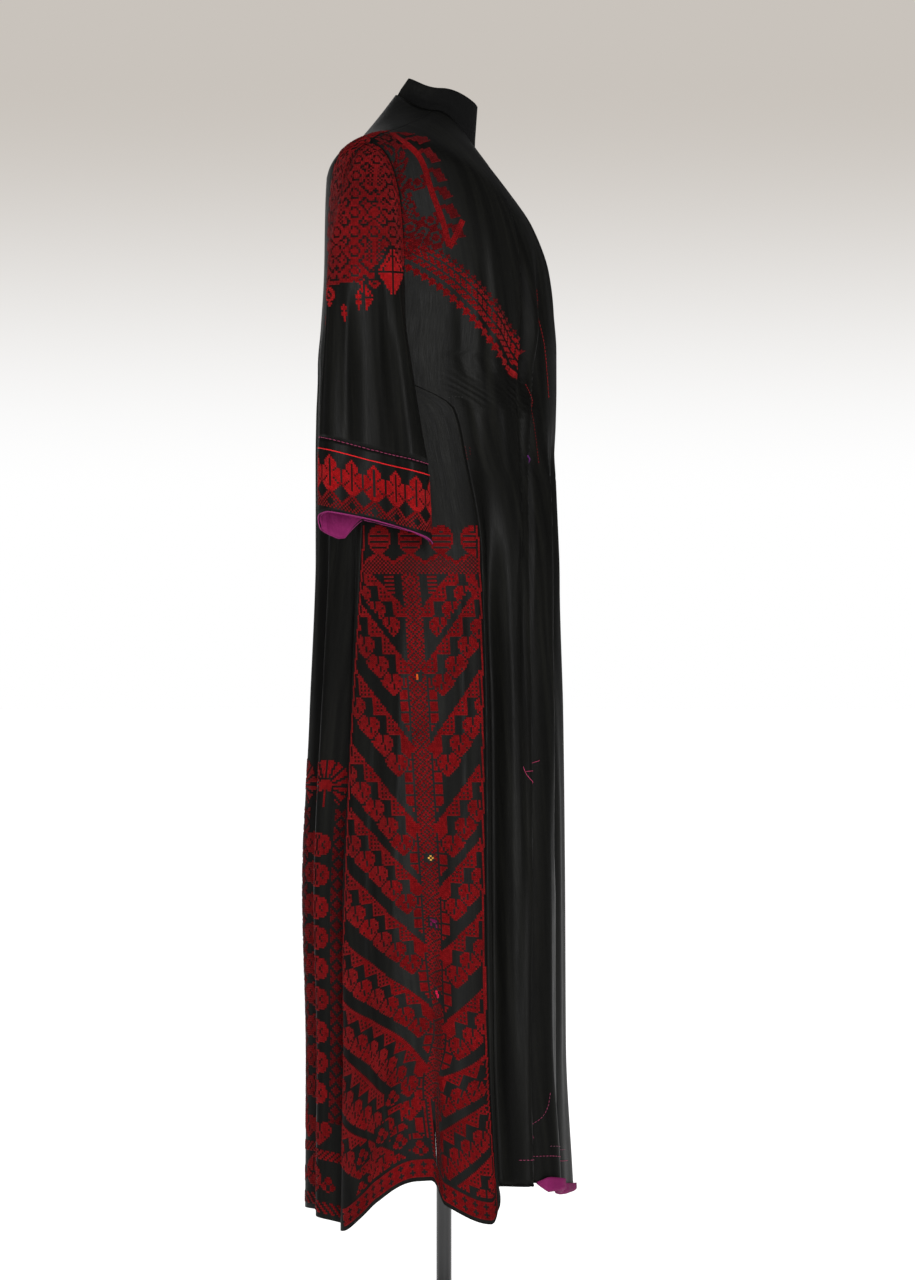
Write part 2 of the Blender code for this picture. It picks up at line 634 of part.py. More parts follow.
def make_stand():
    boss_top = BASE_THICK + BOSS_HEIGHT
    base = make_turned("stand_base", (
        (BASE_RADIUS - 1.5, 0), (BASE_RADIUS, 1.5), (BASE_RADIUS, BASE_THICK - 2), (BASE_RADIUS - 3, BASE_THICK),
        (BOSS_RADIUS + 5, BASE_THICK), (BOSS_RADIUS, BASE_THICK + 4), (BOSS_RADIUS - 2, boss_top - 3),
        (BOSS_RADIUS - 5, boss_top),
    ))
    pole = make_turned("stand_pole", (
        (POLE_RADIUS, boss_top + PIECE_GAP), (POLE_RADIUS, TORSO[0].z_side - PIECE_GAP),
    ))
    return base, pole


def paint(made, name, colour, roughness, metallic=0.0):
    material = bpy.data.materials.get(name) or bpy.data.materials.new(name)
    material.use_nodes = True
    shader = material.node_tree.nodes["Principled BSDF"]
    shader.inputs["Base Color"].default_value = (*colour, 1)
    shader.inputs["Roughness"].default_value = roughness
    shader.inputs["Metallic"].default_value = metallic
    made.data.materials.append(material)
    made.data.shade_smooth()
    made.data.set_sharp_from_angle(angle=math.radians(50))


def main():
    for thing in list(bpy.data.objects):
        bpy.data.objects.remove(thing)
    front, front_outer, front_inner = make_front()
    cloth = [front, make_back()]
    facings = [make_hem_facing(front_outer, front_inner)]
    for word, hand in (("right", -1), ("left", 1)):
        cuff, outer, inner = make_cuff(f"cuff_{word}", hand)
        cloth += [make_side_panel(f"side_panel_{word}", hand), make_sleeve(f"sleeve_{word}", hand), cuff]
        facings.append(make_facing(f"cuff_facing_{word}", outer[1:], inner[1:], closed_rows=True))
    for piece in cloth:
        paint(piece, "black_satin", (0.012, 0.012, 0.011), 0.45)
    for piece in facings:
        paint(piece, "magenta_facing", (0.22, 0.015, 0.12), 0.6)
    paint(make_form(), "black_jersey", (0.006, 0.006, 0.006), 0.9)
    for piece in make_stand():
        paint(piece, "black_steel", (0.02, 0.02, 0.022), 0.4, 0.6)


main()
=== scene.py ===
"""The looks of a Palestinian thobe on a dress form with a stand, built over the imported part.

The wearer faces -Y, +X is the wearer's left and +Z is up. Sizes are in millimetres until a mesh is made.
In the tables, a reach is a distance in front of the stand's axis, and hand is +1 for the wearer's left.
"""

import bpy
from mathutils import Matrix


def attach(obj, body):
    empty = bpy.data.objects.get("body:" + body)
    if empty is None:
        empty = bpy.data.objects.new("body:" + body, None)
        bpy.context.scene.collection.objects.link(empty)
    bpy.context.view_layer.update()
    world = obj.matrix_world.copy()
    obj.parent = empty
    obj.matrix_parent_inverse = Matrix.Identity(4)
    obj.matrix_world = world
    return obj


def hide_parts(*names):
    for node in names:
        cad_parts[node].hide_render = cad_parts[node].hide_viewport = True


bl_info = {
    "name": "Thobe on a dress form",
    "version": (1, 0, 0),
    "blender": (4, 5, 0),
    "location": "View3D > Sidebar > Thobe",
    "description": "Builds the satin, the cross-stitch, the form, the stand and the stage",
    "category": "Add Mesh",
}

import math
from collections import namedtuple

import bmesh
import bpy
import mathutils
import numpy as np

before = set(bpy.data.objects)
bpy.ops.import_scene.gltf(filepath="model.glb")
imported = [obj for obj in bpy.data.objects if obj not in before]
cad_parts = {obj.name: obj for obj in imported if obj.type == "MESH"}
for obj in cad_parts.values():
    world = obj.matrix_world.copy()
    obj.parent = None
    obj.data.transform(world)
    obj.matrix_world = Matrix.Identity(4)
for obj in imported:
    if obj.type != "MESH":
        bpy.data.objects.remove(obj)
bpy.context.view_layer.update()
MM = 0.001
HANDS = (("right", -1), ("left", 1))

# The satin's wall in the solids, the air between it and the form, and the wall of the cotton facings
CLOTH = 1.6
FORM_GAP = 0.9
COTTON = 0.7

# The stand
POLE_RADIUS = 9.5
BASE_RADIUS = 150.0
BASE_THICK = 9.0
BOSS_RADIUS = 22.0
BOSS_HEIGHT = 34.0
PIECE_GAP = 0.3

# The openings that are cut and faced
SLIT_END = 520.0
SIDE_SLIT_TOP = 1322.0
SIDE_SLIT_GAPE = 0.6
SIDE_MIDDLE = 0.33
CUFF_DEPTH = 105.0
CUFF_HEM_TILT = 41.0

# Drops of the armhole's ends and of the tops of the cuff and of the two embroidered panels
ARMHOLE_TOP = 135.0
ARMHOLE_FOOT = 375.0
CUFF_TOP = 385.0
GORE_TOP = 582.0
BACK_TOP = 858.0

Level = namedtuple(
    "Level", "name drop width front side back z_front z_side z_back square slit front_seam back_seam"
)
# Rings of the dress's outer face from neckline to hem. drop is the way down the cloth, width the half width,
# front, side and back the reach of those three points, slit half the front opening, and the last two
# columns the reach of the seams that hold the side panel, or of the armhole's edges above it.
BODY = (
    Level("neckline", 0, 66, 40, -12, -61, 1480, 1524, 1550, 2.0, 22, -12, -12),
    Level("neck_base", 30, 92, 56, -22, -77, 1460, 1513, 1528, 2.1, 21, -22, -22),
    Level("mid_shoulder", 80, 140, 83, -48, -109, 1425, 1494, 1486, 2.3, 20, -48, -48),
    Level("shoulder_tip", 135, 190, 112, -88, -146, 1378, 1467, 1440, 2.5, 19, -88, -88),
    Level("armhole_high", 200, 193, 131, -88, -148, 1325, 1400, 1384, 2.6, 17, -58, -117),
    Level("armhole_mid", 270, 190, 138, -88, -149, 1272, 1326, 1318, 2.6, 15, -51, -125),
    Level("armhole_low", 335, 187, 141, -88, -152, 1228, 1258, 1254, 2.6, 13, -60, -113),
    Level("underarm", 375, 186, 141, -88, -155, 1200, 1215, 1213, 2.6, 12, -88, -88),
    Level("side_top", 390, 186, 141, -84, -155, 1186, 1200, 1198, 2.6, 11, -80, -88),
    Level("side_shoulder", 440, 187, 140, -64, -157, 1140, 1150, 1148, 2.6, 8, 12, -91),
    Level("waist", 500, 190, 137, -46, -158, 1085, 1090, 1090, 2.6, 3, 26, -94),
    Level("hip", 620, 202, 137, -30, -158, 970, 970, 970, 2.7, 2, 46, -100),
    Level("thigh", 820, 222, 142, -28, -163, 770, 770, 770, 2.8, 2, 50, -112),
    Level("knee", 1020, 236, 144, -30, -171, 570, 570, 570, 2.8, 2, 51, -120),
    Level("calf", 1220, 246, 145, -30, -166, 370, 370, 370, 2.8, 2, 55, -126),
    Level("hem", 1400, 256, 154, -30, -167, 190, 190, 190, 2.8, 2, 66, -127),
)
BODY_HEM = BODY[-1].drop

Fold = namedtuple("Fold", "name hand top hip hem start full toward_front toward_back height")
# Long folds of the body. hand is +1 for the wearer's left. top, hip and hem are the fold's place in degrees
# from the centre front where it starts, at the hip and at the hem, start and full the drops where it begins
# and is whole, toward_front and toward_back its width in degrees on each side, and height how far it
# stands out, or sinks in where it is negative.
FOLDS = (
    Fold("trough ahead of side panel", -1, 66, 64.5, 61.5, 470, 720, 7, 2.8, -24),
    Fold("trough behind side panel", -1, 122, 124, 131, 480, 760, 2.8, 8, -22),
    Fold("pleat", -1, 26, 44.5, 51.5, 140, 330, 2.2, 6, 11),
    Fold("recess beyond pleat", -1, 19, 38, 45, 140, 330, 4, 2.4, -12),
    Fold("ridge from waist", -1, 20, 27, 33, 400, 640, 4, 5, 10),
    Fold("hollow from waist", -1, 9, 16, 20, 420, 640, 4, 3.5, -9),
    Fold("ridge by centre", -1, 3, 5, 6, 430, 700, 3.5, 4, 7),
    Fold("hollow on side panel", -1, 84, 86, 88, 560, 1100, 5, 6, -5),
    Fold("second hollow on side panel", -1, 102, 104, 110, 560, 1000, 6, 5, -6),
    Fold("ridge by back trough", -1, 134, 140, 143, 420, 900, 4, 4, 9),
    Fold("hollow of back", -1, 146, 150, 152, 260, 800, 4, 5, -9),
    Fold("ridge of back", -1, 158, 160, 161, 260, 900, 5, 5, 8),
    Fold("hollow by centre back", -1, 172, 171, 170, 300, 900, 4, 4, -8),
    Fold("trough ahead of side panel", 1, 66, 64.5, 62, 480, 740, 7, 3, -23),
    Fold("trough behind side panel", 1, 121, 123, 130, 500, 760, 3, 8, -23),
    Fold("pleat", 1, 27, 43, 50, 150, 350, 2.4, 6, 10),
    Fold("recess beyond pleat", 1, 18, 36, 42, 150, 350, 4, 2.6, -11),
    Fold("ridge from waist", 1, 20, 25, 29, 400, 660, 4, 4, 10),
    Fold("hollow from waist", 1, 8, 12, 15, 420, 660, 3.5, 4, -9),
    Fold("hollow on side panel", 1, 92, 92, 90, 560, 1100, 6, 5, -6),
    Fold("second hollow on side panel", 1, 107, 107, 104, 560, 1000, 5, 6, -5),
    Fold("ridge by back trough", 1, 132, 139, 141, 420, 900, 4, 4, 9),
    Fold("hollow of back", 1, 144, 148, 150, 260, 820, 4, 5, -10),
    Fold("ridge of back", 1, 157, 158, 159, 260, 900, 5, 5, 9),
    Fold("hollow by centre back", 1, 169, 169, 170, 300, 900, 4, 4, -7),
)
HIP = 620.0

HemPoint = namedtuple("HemPoint", "angle rise")
# How far the hem hangs above or below its ring, round the body from the wearer's right to the left.
HEM = (
    HemPoint(-180, -12), HemPoint(-150, -12), HemPoint(-125, -26), HemPoint(-104, 12), HemPoint(-88, 38),
    HemPoint(-85, 9), HemPoint(-69, -15), HemPoint(-62, 27), HemPoint(-40, 28), HemPoint(-14, 10),
    HemPoint(12, 1), HemPoint(40, 8), HemPoint(62, 14), HemPoint(70, -9), HemPoint(84, 11),
    HemPoint(88, 34), HemPoint(106, 8), HemPoint(125, -22), HemPoint(150, -8), HemPoint(180, -12),
)

SleeveRing = namedtuple("SleeveRing", "name drop outer_x outer_z inner_x inner_z front back square")
# Rings of a sleeve from just off the armhole to its hem. The outer line runs down from the shoulder tip and
# the inner line from the underarm; front and back are the reach of the sleeve's two edges.
SLEEVE = (
    SleeveRing("armhole", 0, 190, 1467, 186, 1215, -50, -126, 2.2),
    SleeveRing("set_in", 14, 204, 1460, 199, 1209, -49, -127, 2.2),
    SleeveRing("cap", 34, 219, 1445, 207, 1194, -48, -132, 2.2),
    SleeveRing("upper", 88, 239, 1396, 207, 1160, -46, -139, 2.3),
    SleeveRing("pendants", 160, 249, 1324, 206, 1128, -44, -141, 2.4),
    SleeveRing("middle", 250, 254, 1236, 206, 1096, -35, -145, 2.6),
    SleeveRing("forearm", 340, 258, 1146, 208, 1062, -24, -148, 2.8),
    SleeveRing("cuff_top", 385, 260, 1100, 210, 1046, -18, -149, 2.9),
    SleeveRing("cuff_hem", 490, 264, 998, 213, 977, -12, -149, 3.0),
)
SLEEVE_HEM = SLEEVE[-1].drop

SleeveFold = namedtuple("SleeveFold", "hand angle start full width height")
# Long folds of the sleeves, at degrees round from the outer line by way of the front.
SLEEVE_FOLDS = tuple(SleeveFold(*row) for row in (
    (-1, 2, 130, 300, 17, -13), (-1, 315, 150, 320, 15, 5), (-1, 38, 150, 320, 18, 6),
    (-1, 205, 150, 320, 18, 7), (1, 352, 130, 300, 18, -12), (1, 308, 150, 320, 15, 6),
    (1, 30, 150, 320, 17, 6), (1, 160, 150, 320, 18, 7),
))

CuffHem = namedtuple("CuffHem", "angle level")
# The cuffs' seam, cord and hem slope down to the front by CUFF_SLOPE, and their levels are the heights at
# which they would pass the stand's axis. The sleeve's rows lie across it down to STRAIGHT_TO.
CUFF_SLOPE = 0.25
STRAIGHT_TO = 300.0
SEAM_LEVEL = 1074.7
CORD_LEVEL = 1061.7
CUFF_HEM = (
    CuffHem(0, 992), CuffHem(60, 987), CuffHem(90, 981), CuffHem(130, 991), CuffHem(186, 990),
    CuffHem(204, 963), CuffHem(224, 956), CuffHem(248, 964), CuffHem(276, 980), CuffHem(310, 988),
    CuffHem(360, 992),
)
AROUND = np.arange(0, 361, 3.0)

FormRing = namedtuple("FormRing", "name width front side back z_front z_side z_back square")
# Rings of the dress form from its foot to its shoulders, and then those of its neck with its slanted top.
# Between the two it follows the cloth that rests on it.
TORSO = (
    FormRing("foot", 150, 92, -8, -104, 800, 800, 800, 2.2),
    FormRing("hip", 164, 102, -10, -120, 870, 870, 870, 2.2),
    FormRing("high_hip", 150, 96, -8, -112, 970, 970, 970, 2.2),
    FormRing("waist", 120, 84, -8, -94, 1080, 1080, 1080, 2.2),
    FormRing("ribs", 138, 102, -12, -116, 1170, 1170, 1170, 2.2),
    FormRing("bust", 156, 122, -20, -132, 1240, 1245, 1245, 2.3),
    FormRing("armpit", 166, 122, -48, -140, 1286, 1312, 1306, 2.4),
    FormRing("shoulder_cap", 176, 118, -72, -142, 1330, 1392, 1380, 2.5),
    FormRing("shoulder_edge", 182, 113, -77, -142, 1358, 1436, 1418, 2.5),
)
NECK = (
    FormRing("neck", 52, 39, -8, -54, 1494, 1537, 1558, 2.0),
    FormRing("neck_top", 48, 42, -4, -47, 1536, 1551, 1568, 2.0),
    FormRing("neck_rim", 45, 40, -4, -45, 1539, 1554, 1571, 2.0),
)

Crease = namedtuple("Crease", "hand top bottom start end width height")
# Creases finer than the folds: their place in degrees at their upper and lower ends, the drops of those ends,
# their width in degrees and how far they stand out, or sink in where that is negative.
CREASES = tuple(Crease(*row) for row in (
    (-1, 8, 7, 440, 720, 1.5, 2.4), (-1, 12, 11, 430, 800, 1.3, -2.2), (-1, 15, 15, 440, 760, 1.2, 2.2),
    (-1, 19, 21, 436, 860, 1.2, -2.0), (-1, 23, 26, 440, 780, 1.3, 2.3), (-1, 27, 31, 448, 900, 1.3, -2.0),
    (-1, 31, 37, 470, 760, 1.4, 1.8), (-1, 62, 60, 240, 470, 2.0, 1.6), (-1, 68, 66, 280, 520, 1.7, -1.6),
    (-1, 55, 52, 150, 600, 2.4, 2.2), (-1, 48, 47, 190, 520, 1.8, -1.5), (-1, 40, 43, 170, 460, 1.6, 1.4),
    (-1, 33, 34, 160, 440, 2.0, 1.8), (-1, 10, 9, 60, 330, 2.2, 1.6), (-1, 56, 57, 560, 1360, 2.4, 3.2),
    (-1, 48.5, 54.5, 760, 1400, 1.5, -1.6), (-1, 30, 31, 820, 1400, 2.2, -2.4),
    (-1, 24, 26, 900, 1400, 2.4, 2.2), (-1, 12, 12, 760, 1400, 2.2, 2.0),
    (-1, 80, 78, 600, 1000, 2.0, 1.0), (-1, 95, 98, 640, 1240, 2.6, 1.3),
    (-1, 108, 112, 700, 1300, 2.2, 1.2), (-1, 128, 130, 520, 1100, 1.8, 1.8),
    (-1, 136, 138, 260, 800, 2.0, -1.8), (-1, 154, 156, 300, 1100, 2.0, 2.0),
    (-1, 165, 165, 420, 1300, 2.2, -2.0), (-1, 176, 177, 200, 900, 2.2, 1.6),
    (1, 7, 6, 440, 700, 1.5, 2.2), (1, 11, 12, 436, 820, 1.3, -2.2), (1, 16, 17, 440, 780, 1.3, 2.2),
    (1, 22, 24, 444, 860, 1.3, -2.0), (1, 27, 31, 450, 800, 1.4, 2.0), (1, 33, 37, 480, 740, 1.4, -1.5),
    (1, 60, 58, 230, 500, 2.0, 1.8), (1, 66, 65, 300, 540, 1.7, -1.5), (1, 53, 50, 160, 580, 2.4, 2.2),
    (1, 46, 45, 200, 500, 1.8, -1.4), (1, 34, 33, 160, 430, 2.0, 1.8), (1, 56, 56, 600, 1380, 2.4, 3.0),
    (1, 29, 31, 800, 1400, 2.2, -2.4), (1, 10, 9, 740, 1400, 2.2, 2.0), (1, 97, 95, 640, 1200, 2.6, 1.3),
    (1, 127, 128, 540, 1150, 1.8, 1.8), (1, 136, 137, 300, 820, 2.0, -1.8),
    (1, 152, 153, 300, 1000, 2.0, 2.0), (1, 163, 164, 460, 1320, 2.2, -2.0),
    (1, 175, 175, 240, 1000, 2.2, 1.6),
))
# The same on the sleeves, in degrees round from the outer line by way of the front.
SLEEVE_CREASES = tuple(Crease(*row) for row in (
    (-1, 20, 16, 170, 390, 6, 1.6), (-1, 52, 56, 190, 480, 8, 2.0), (-1, 64, 68, 120, 330, 6, -1.6),
    (-1, 338, 342, 160, 420, 7, 1.8), (-1, 296, 292, 130, 470, 7, -1.8), (-1, 280, 276, 200, 440, 6, 1.5),
    (-1, 350, 346, 390, 490, 8, -1.8), (-1, 24, 26, 400, 490, 7, 1.6), (-1, 230, 226, 380, 490, 8, 2.2),
    (-1, 252, 256, 390, 490, 7, -2.0), (-1, 180, 176, 380, 490, 10, -2.0), (1, 18, 12, 180, 400, 6, 1.6),
    (1, 48, 50, 170, 470, 8, 2.0), (1, 334, 330, 150, 430, 7, 1.8), (1, 290, 288, 140, 460, 7, -1.8),
    (1, 222, 226, 390, 490, 8, 2.2), (1, 250, 250, 390, 490, 7, -2.0),
))
# How deep, and in degrees how widely, the cloth is drawn in at the side panels' seams.
SEAM_DIP = 0.9
SEAM_WIDTH = 0.7

LapPoint = namedtuple("LapPoint", "drop turn depth")
# The edge that the front's cloth folds back at, and how far the cloth beyond it sinks in.
LAP = (
    LapPoint(20, 36, 0), LapPoint(62, 35.5, 3), LapPoint(116, 36.5, 9), LapPoint(188, 38.5, 12),
    LapPoint(246, 40, 13), LapPoint(354, 43, 13), LapPoint(448, 45.5, 12), LapPoint(548, 47, 11),
    LapPoint(672, 50, 9), LapPoint(792, 51.5, 7), LapPoint(912, 51.5, 4), LapPoint(1060, 50, 0),
    LapPoint(1400, 50, 0),
)

GorePoint = namedtuple("GorePoint", "drop reach")
# The middle line of the side panel's embroidery, from its top to where the slit in the hem begins.
GORE_LINE = (
    GorePoint(560, -42), GorePoint(634, -41), GorePoint(691, -35), GorePoint(759, -31.5),
    GorePoint(854, -25.5), GorePoint(950, -19.5), GorePoint(1027, -14.5), GorePoint(1106, -10),
    GorePoint(1191, -5), GorePoint(1265, -1),
)

# The width of a stitch's cell, the share of it that the stitch fills, and how far its corners are raised.
STITCH = 2.35
STITCH_FILL = 0.98
STITCH_LIFT = 0.22
# Flosses by the number that stands for them in a chart.
RED, DEEP, GOLD, PLUM, PINK, ORANGE, BRIGHT = range(1, 8)
FLOSSES = {
    RED: "#6b0a0d", DEEP: "#4e080b", GOLD: "#e2a94e", PLUM: "#6c1240", PINK: "#d81d4b", ORANGE: "#d0561c",
    BRIGHT: "#8a0e11",
}

Arm = namedtuple("Arm", "drop slope")
# Where each pair of rising arms meets the side panel's middle column, and how steeply it rises.
ARMS = (
    Arm(691, 1.15), Arm(759, 1.35), Arm(854, 1.35), Arm(950, 1.25), Arm(1027, 1.15), Arm(1106, 1.1),
    Arm(1191, 1.05), Arm(1265, 1.0), Arm(1338, 1.0), Arm(1408, 1.0),
)
# How many stitches wide each step of the arms is.
BLOCK = 7
# Middles of the back's columns of discs, in stitches from its middle line.
DISC_COLUMNS = (0, 20, 40, 59, 79)

# The embroidered tab at the shoulder, its foot that turns up again, and the slanting band across the chest,
# as knots of turn and drop on the body.
TAB = ((88.5, 106), (81.3, 132), (77.7, 152), (75.6, 186), (72.5, 220), (70.9, 246))
TAB_END = ((70.9, 247), (67.9, 226), (65.6, 208))
BAND = ((84.2, 254), (78.0, 265), (69.5, 282), (60.5, 306), (52.5, 334), (46.6, 358), (43.4, 374))

Line = namedtuple("Line", "hand stitch gap radius colour knots")
# Running stitches on the front, and whole threads where the stitch is 0, with knots of turn and drop.
FRONT_LINES = (
    Line(-1, 3.0, 1.5, 0.4, "#8d3a58", ((35.6, 1290), (36.6, 1305), (39, 1320), (45, 1334), (51.5, 1344))),
    Line(-1, 2.6, 2.2, 0.35, "#7c4a5c", ((37, 1357), (28, 1356), (12, 1355))),
    Line(-1, 2.2, 1.2, 0.35, "#7a1216", ((40.2, 400), (38, 420), (36, 444))),
    Line(-1, 3.6, 1.0, 0.45, "#7a1216", ((24, 238), (23, 288), (22, 358), (20, 412))),
    Line(-1, 2.4, 1.6, 0.4, "#6c1014", ((30, 250), (31, 300), (31, 350), (30, 430), (29, 500))),
    Line(-1, 2.0, 2.0, 0.3, "#3a3a38", ((74.8, 427), (72, 425.5), (69, 426))),
    Line(-1, 1.8, 1.8, 0.3, "#5e1418", ((72.2, 486), (72.0, 495), (71.9, 504))),
    Line(-1, 1.8, 1.8, 0.3, "#5e1418", ((70.4, 487), (70.6, 500))),
    Line(-1, 0, 0, 1.1, "#43184c", ((42.0, 492), (38, 508), (34.5, 526))),
    Line(-1, 0, 0, 0.4, "#93304f", ((36, 866), (40, 871), (45, 877), (50, 878))),
    Line(-1, 0, 0, 0.4, "#93304f", ((51, 872), (50, 879), (48, 888), (45, 896))),
    Line(-1, 3.0, 1.5, 0.4, "#8d3a58", ((55, 1369), (40, 1369), (25, 1369), (10, 1369))),
    Line(1, 3.0, 1.5, 0.4, "#8d3a58", ((55, 1369), (40, 1369), (25, 1369), (10, 1369))),
    Line(1, 3.6, 1.0, 0.45, "#7a1216", ((24, 238), (23, 288), (22, 358), (20, 412))),
    Line(1, 2.4, 1.6, 0.4, "#6c1014", ((30, 250), (31, 300), (31, 350), (30, 430), (29, 500))),
)

# The corner of the front's hem that is turned up: how far it hangs, its radius where it turns and how far it
# goes up again. Its rows run from 0 to 1 past the last drop, which is drawn out this far on the flat cloth.
CORNER_LOW = 8.0
CORNER_ROLL = 2.4
CORNER_FLAP = 14.0
CORNER_SPAN = 40.0
CORNER_ROWS = np.linspace(0.08, 1, 12)

# A point inside the body, in plan, that the outer faces of its panels look away from
BODY_MIDDLE = (0.0, 12.0)


def column(table, name):
    return np.array([getattr(row, name) for row in table], float)


def smooth(x, xs, ys):
    """Reads a column of a table between its rows, on a smooth curve that never runs past them."""
    rises = np.diff(ys) / np.diff(xs)
    before, after = rises[:-1], rises[1:]
    turning = before * after <= 0
    total = np.where(turning, 1, before + after)
    slopes = np.concatenate([rises[:1], np.where(turning, 0, 2 * before * after / total), rises[-1:]])
    i = np.clip(np.searchsorted(xs, x) - 1, 0, len(xs) - 2)
    step = xs[i + 1] - xs[i]
    t = np.clip((x - xs[i]) / step, 0, 1)
    start = ys[i] * (1 + 2 * t) + slopes[i] * step * t
    end = ys[i + 1] * (3 - 2 * t) + slopes[i + 1] * step * (t - 1)
    return start * (1 - t) ** 2 + end * t**2


def eased(x, start, full):
    """Rises smoothly from 0 at start to 1 at full."""
    t = np.clip((x - start) / (full - start), 0, 1)
    return t * t * (3 - 2 * t)


def steady(turn):
    """An edge of a panel that keeps to one turn at every drop."""
    return lambda drop: 0 * drop + turn


def run_along(points):
    """How far along its line each point lies. A grid has a line in each of its rows."""
    steps = np.linalg.norm(np.diff(points, axis=-2), axis=-1)
    return np.concatenate([np.zeros((*steps.shape[:-1], 1)), np.cumsum(steps, axis=-1)], axis=-1)


def read_grid(table, row, column):
    """Reads a table of numbers between its rows and columns."""
    r = np.clip(row, 0, table.shape[0] - 1.001)
    c = np.clip(column, 0, table.shape[1] - 1.001)
    j, i = r.astype(int), c.astype(int)
    r, c = r - j, c - i
    top = table[j, i] * (1 - c) + table[j, i + 1] * c
    low = table[j + 1, i] * (1 - c) + table[j + 1, i + 1] * c
    return top * (1 - r) + low * r


def wrapped(angle):
    return (angle + 180) % 360 - 180


def at_drop(name, drop):
    return smooth(drop, column(BODY, "drop"), column(BODY, name))


def ring_point(angle, ring):
    """Points of a ring, at degrees from the centre front, and its outward direction in plan."""
    turn = np.radians(np.abs(wrapped(angle)))
    hand = np.where(wrapped(angle) < 0, -1.0, 1.0)
    ahead = np.cos(turn)
    across = np.sin(turn)
    power = 2 / ring["square"]
    facing = np.where(ahead > 0, 1.0, -1.0)
    depth = np.where(ahead > 0, ring["front"] - ring["side"], ring["side"] - ring["back"])
    end_z = np.where(ahead > 0, ring["z_front"], ring["z_back"])
    share_x = np.abs(across) ** power
    share_y = np.abs(ahead) ** power
    x = hand * ring["width"] * share_x
    reach = ring["side"] + facing * depth * share_y
    z = end_z + (ring["z_side"] - end_z) * np.abs(across) ** 2.4
    out_x = hand * share_x ** (ring["square"] - 1) / ring["width"]
    out_y = -facing * share_y ** (ring["square"] - 1) / depth
    length = np.hypot(out_x, out_y)
    return np.stack([x, -reach, z], -1), np.stack([out_x / length, out_y / length, 0 * z], -1)


def fold_angle(fold, drop):
    """Where a fold lies at a drop, in degrees from the centre front on its own side."""
    turning = np.array([fold.top, fold.hip, fold.hem], float)
    return smooth(drop, np.array([fold.start, HIP, BODY_HEM], float), turning)


def fold_height(angle, drop):
    """How far the body's folds move its cloth outward."""
    moved = np.zeros(np.broadcast(angle, drop).shape)
    for fold in FOLDS:
        away = fold.hand * wrapped(angle - fold.hand * fold_angle(fold, drop))
        width = np.where(away < 0, fold.toward_front, fold.toward_back)
        shape = np.exp(-((away / width) ** 2))
        moved = moved + fold.height * eased(drop, fold.start, fold.full) * shape
    return moved


def crease_height(table, turn, drop, hand=None):
    """How far the creases of a table move the cloth outward."""
    moved = np.zeros(np.broadcast(turn, drop).shape)
    for crease in table:
        if hand not in (None, crease.hand):
            continue
        side = crease.hand if hand is None else 1
        along = np.clip((drop - crease.start) / (crease.end - crease.start), 0, 1)
        away = wrapped(turn - side * (crease.top + (crease.bottom - crease.top) * along))
        grown = eased(along, 0, 0.3) * (1 - eased(along, 0.62, 1))
        moved = moved + 1.5 * crease.height * grown * np.exp(-((away / crease.width) ** 2))
    return moved


def seam_dip(angle, drop):
    """How far the cloth is drawn in at the seams that hold the side panels."""
    turn = np.abs(wrapped(angle))
    below = eased(drop, 384, 400) * eased(drop, 500, 660)
    dip = sum(np.exp(-(((turn - seam(drop)) / SEAM_WIDTH) ** 2)) for seam in (front_seam, back_seam))
    return SEAM_DIP * below * dip


def lap_depth(angle, drop):
    """How far the front's cloth sinks in beyond the edge of its fold."""
    edge, depth = (smooth(drop, column(LAP, "drop"), column(LAP, name)) for name in ("turn", "depth"))
    beyond = edge - np.abs(wrapped(angle))
    return np.maximum(depth, 0) / (1 + np.exp(-beyond / 0.3)) * np.exp(-np.maximum(beyond, 0) / 13)


def body_point(angle, drop):
    """Points of the dress's outer face."""
    ring = {name: at_drop(name, drop) for name in Level._fields[2:10]}
    point, outward = ring_point(angle, ring)
    hem_rise = smooth(wrapped(angle), column(HEM, "angle"), column(HEM, "rise"))
    moved = fold_height(angle, drop) + crease_height(CREASES, angle, drop)
    moved = moved - seam_dip(angle, drop) - lap_depth(angle, drop)
    point = point + outward * moved[..., None]
    point[..., 2] += hem_rise * eased(drop, 900, BODY_HEM)
    return point


def armhole_lift(drop):
    """Height on the armhole, from 1 at the shoulder tip to -1 at the underarm."""
    height = at_drop("z_side", drop)
    tip, low = at_drop("z_side", ARMHOLE_TOP), at_drop("z_side", ARMHOLE_FOOT)
    return np.clip(2 * (height - low) / (tip - low) - 1, -1, 1)


def seam_reach(name, drop):
    """The reach of a seam. Down to the shoulder tip both seams are the one on the shoulder's ridge, and on
    to the underarm they are the edges of the armhole, an upright oval that is the sleeve's first ring."""
    hole = SLEEVE[0]
    half = (hole.front - hole.back) / 2 * (1 if name == "front_seam" else -1)
    oval = (1 - np.abs(armhole_lift(drop)) ** hole.square) ** (1 / hole.square)
    edge = (hole.front + hole.back) / 2 + half * oval
    below = np.where(drop < ARMHOLE_FOOT, edge, at_drop(name, drop))
    return np.where(drop <= ARMHOLE_TOP, at_drop("side", drop), below)


def seam_angle(reach, drop):
    """The angle at which the body's ring has this reach."""
    front, side, back = (at_drop(name, drop) for name in ("front", "side", "back"))
    ahead = reach >= side
    share = np.where(ahead, (reach - side) / (front - side), (side - reach) / (side - back))
    turned = np.degrees(np.arccos(np.clip(share, 0, 1) ** (at_drop("square", drop) / 2)))
    return np.where(ahead, turned, 180 - turned)


def front_seam(drop):
    return seam_angle(seam_reach("front_seam", drop), drop)


def back_seam(drop):
    return seam_angle(seam_reach("back_seam", drop), drop)


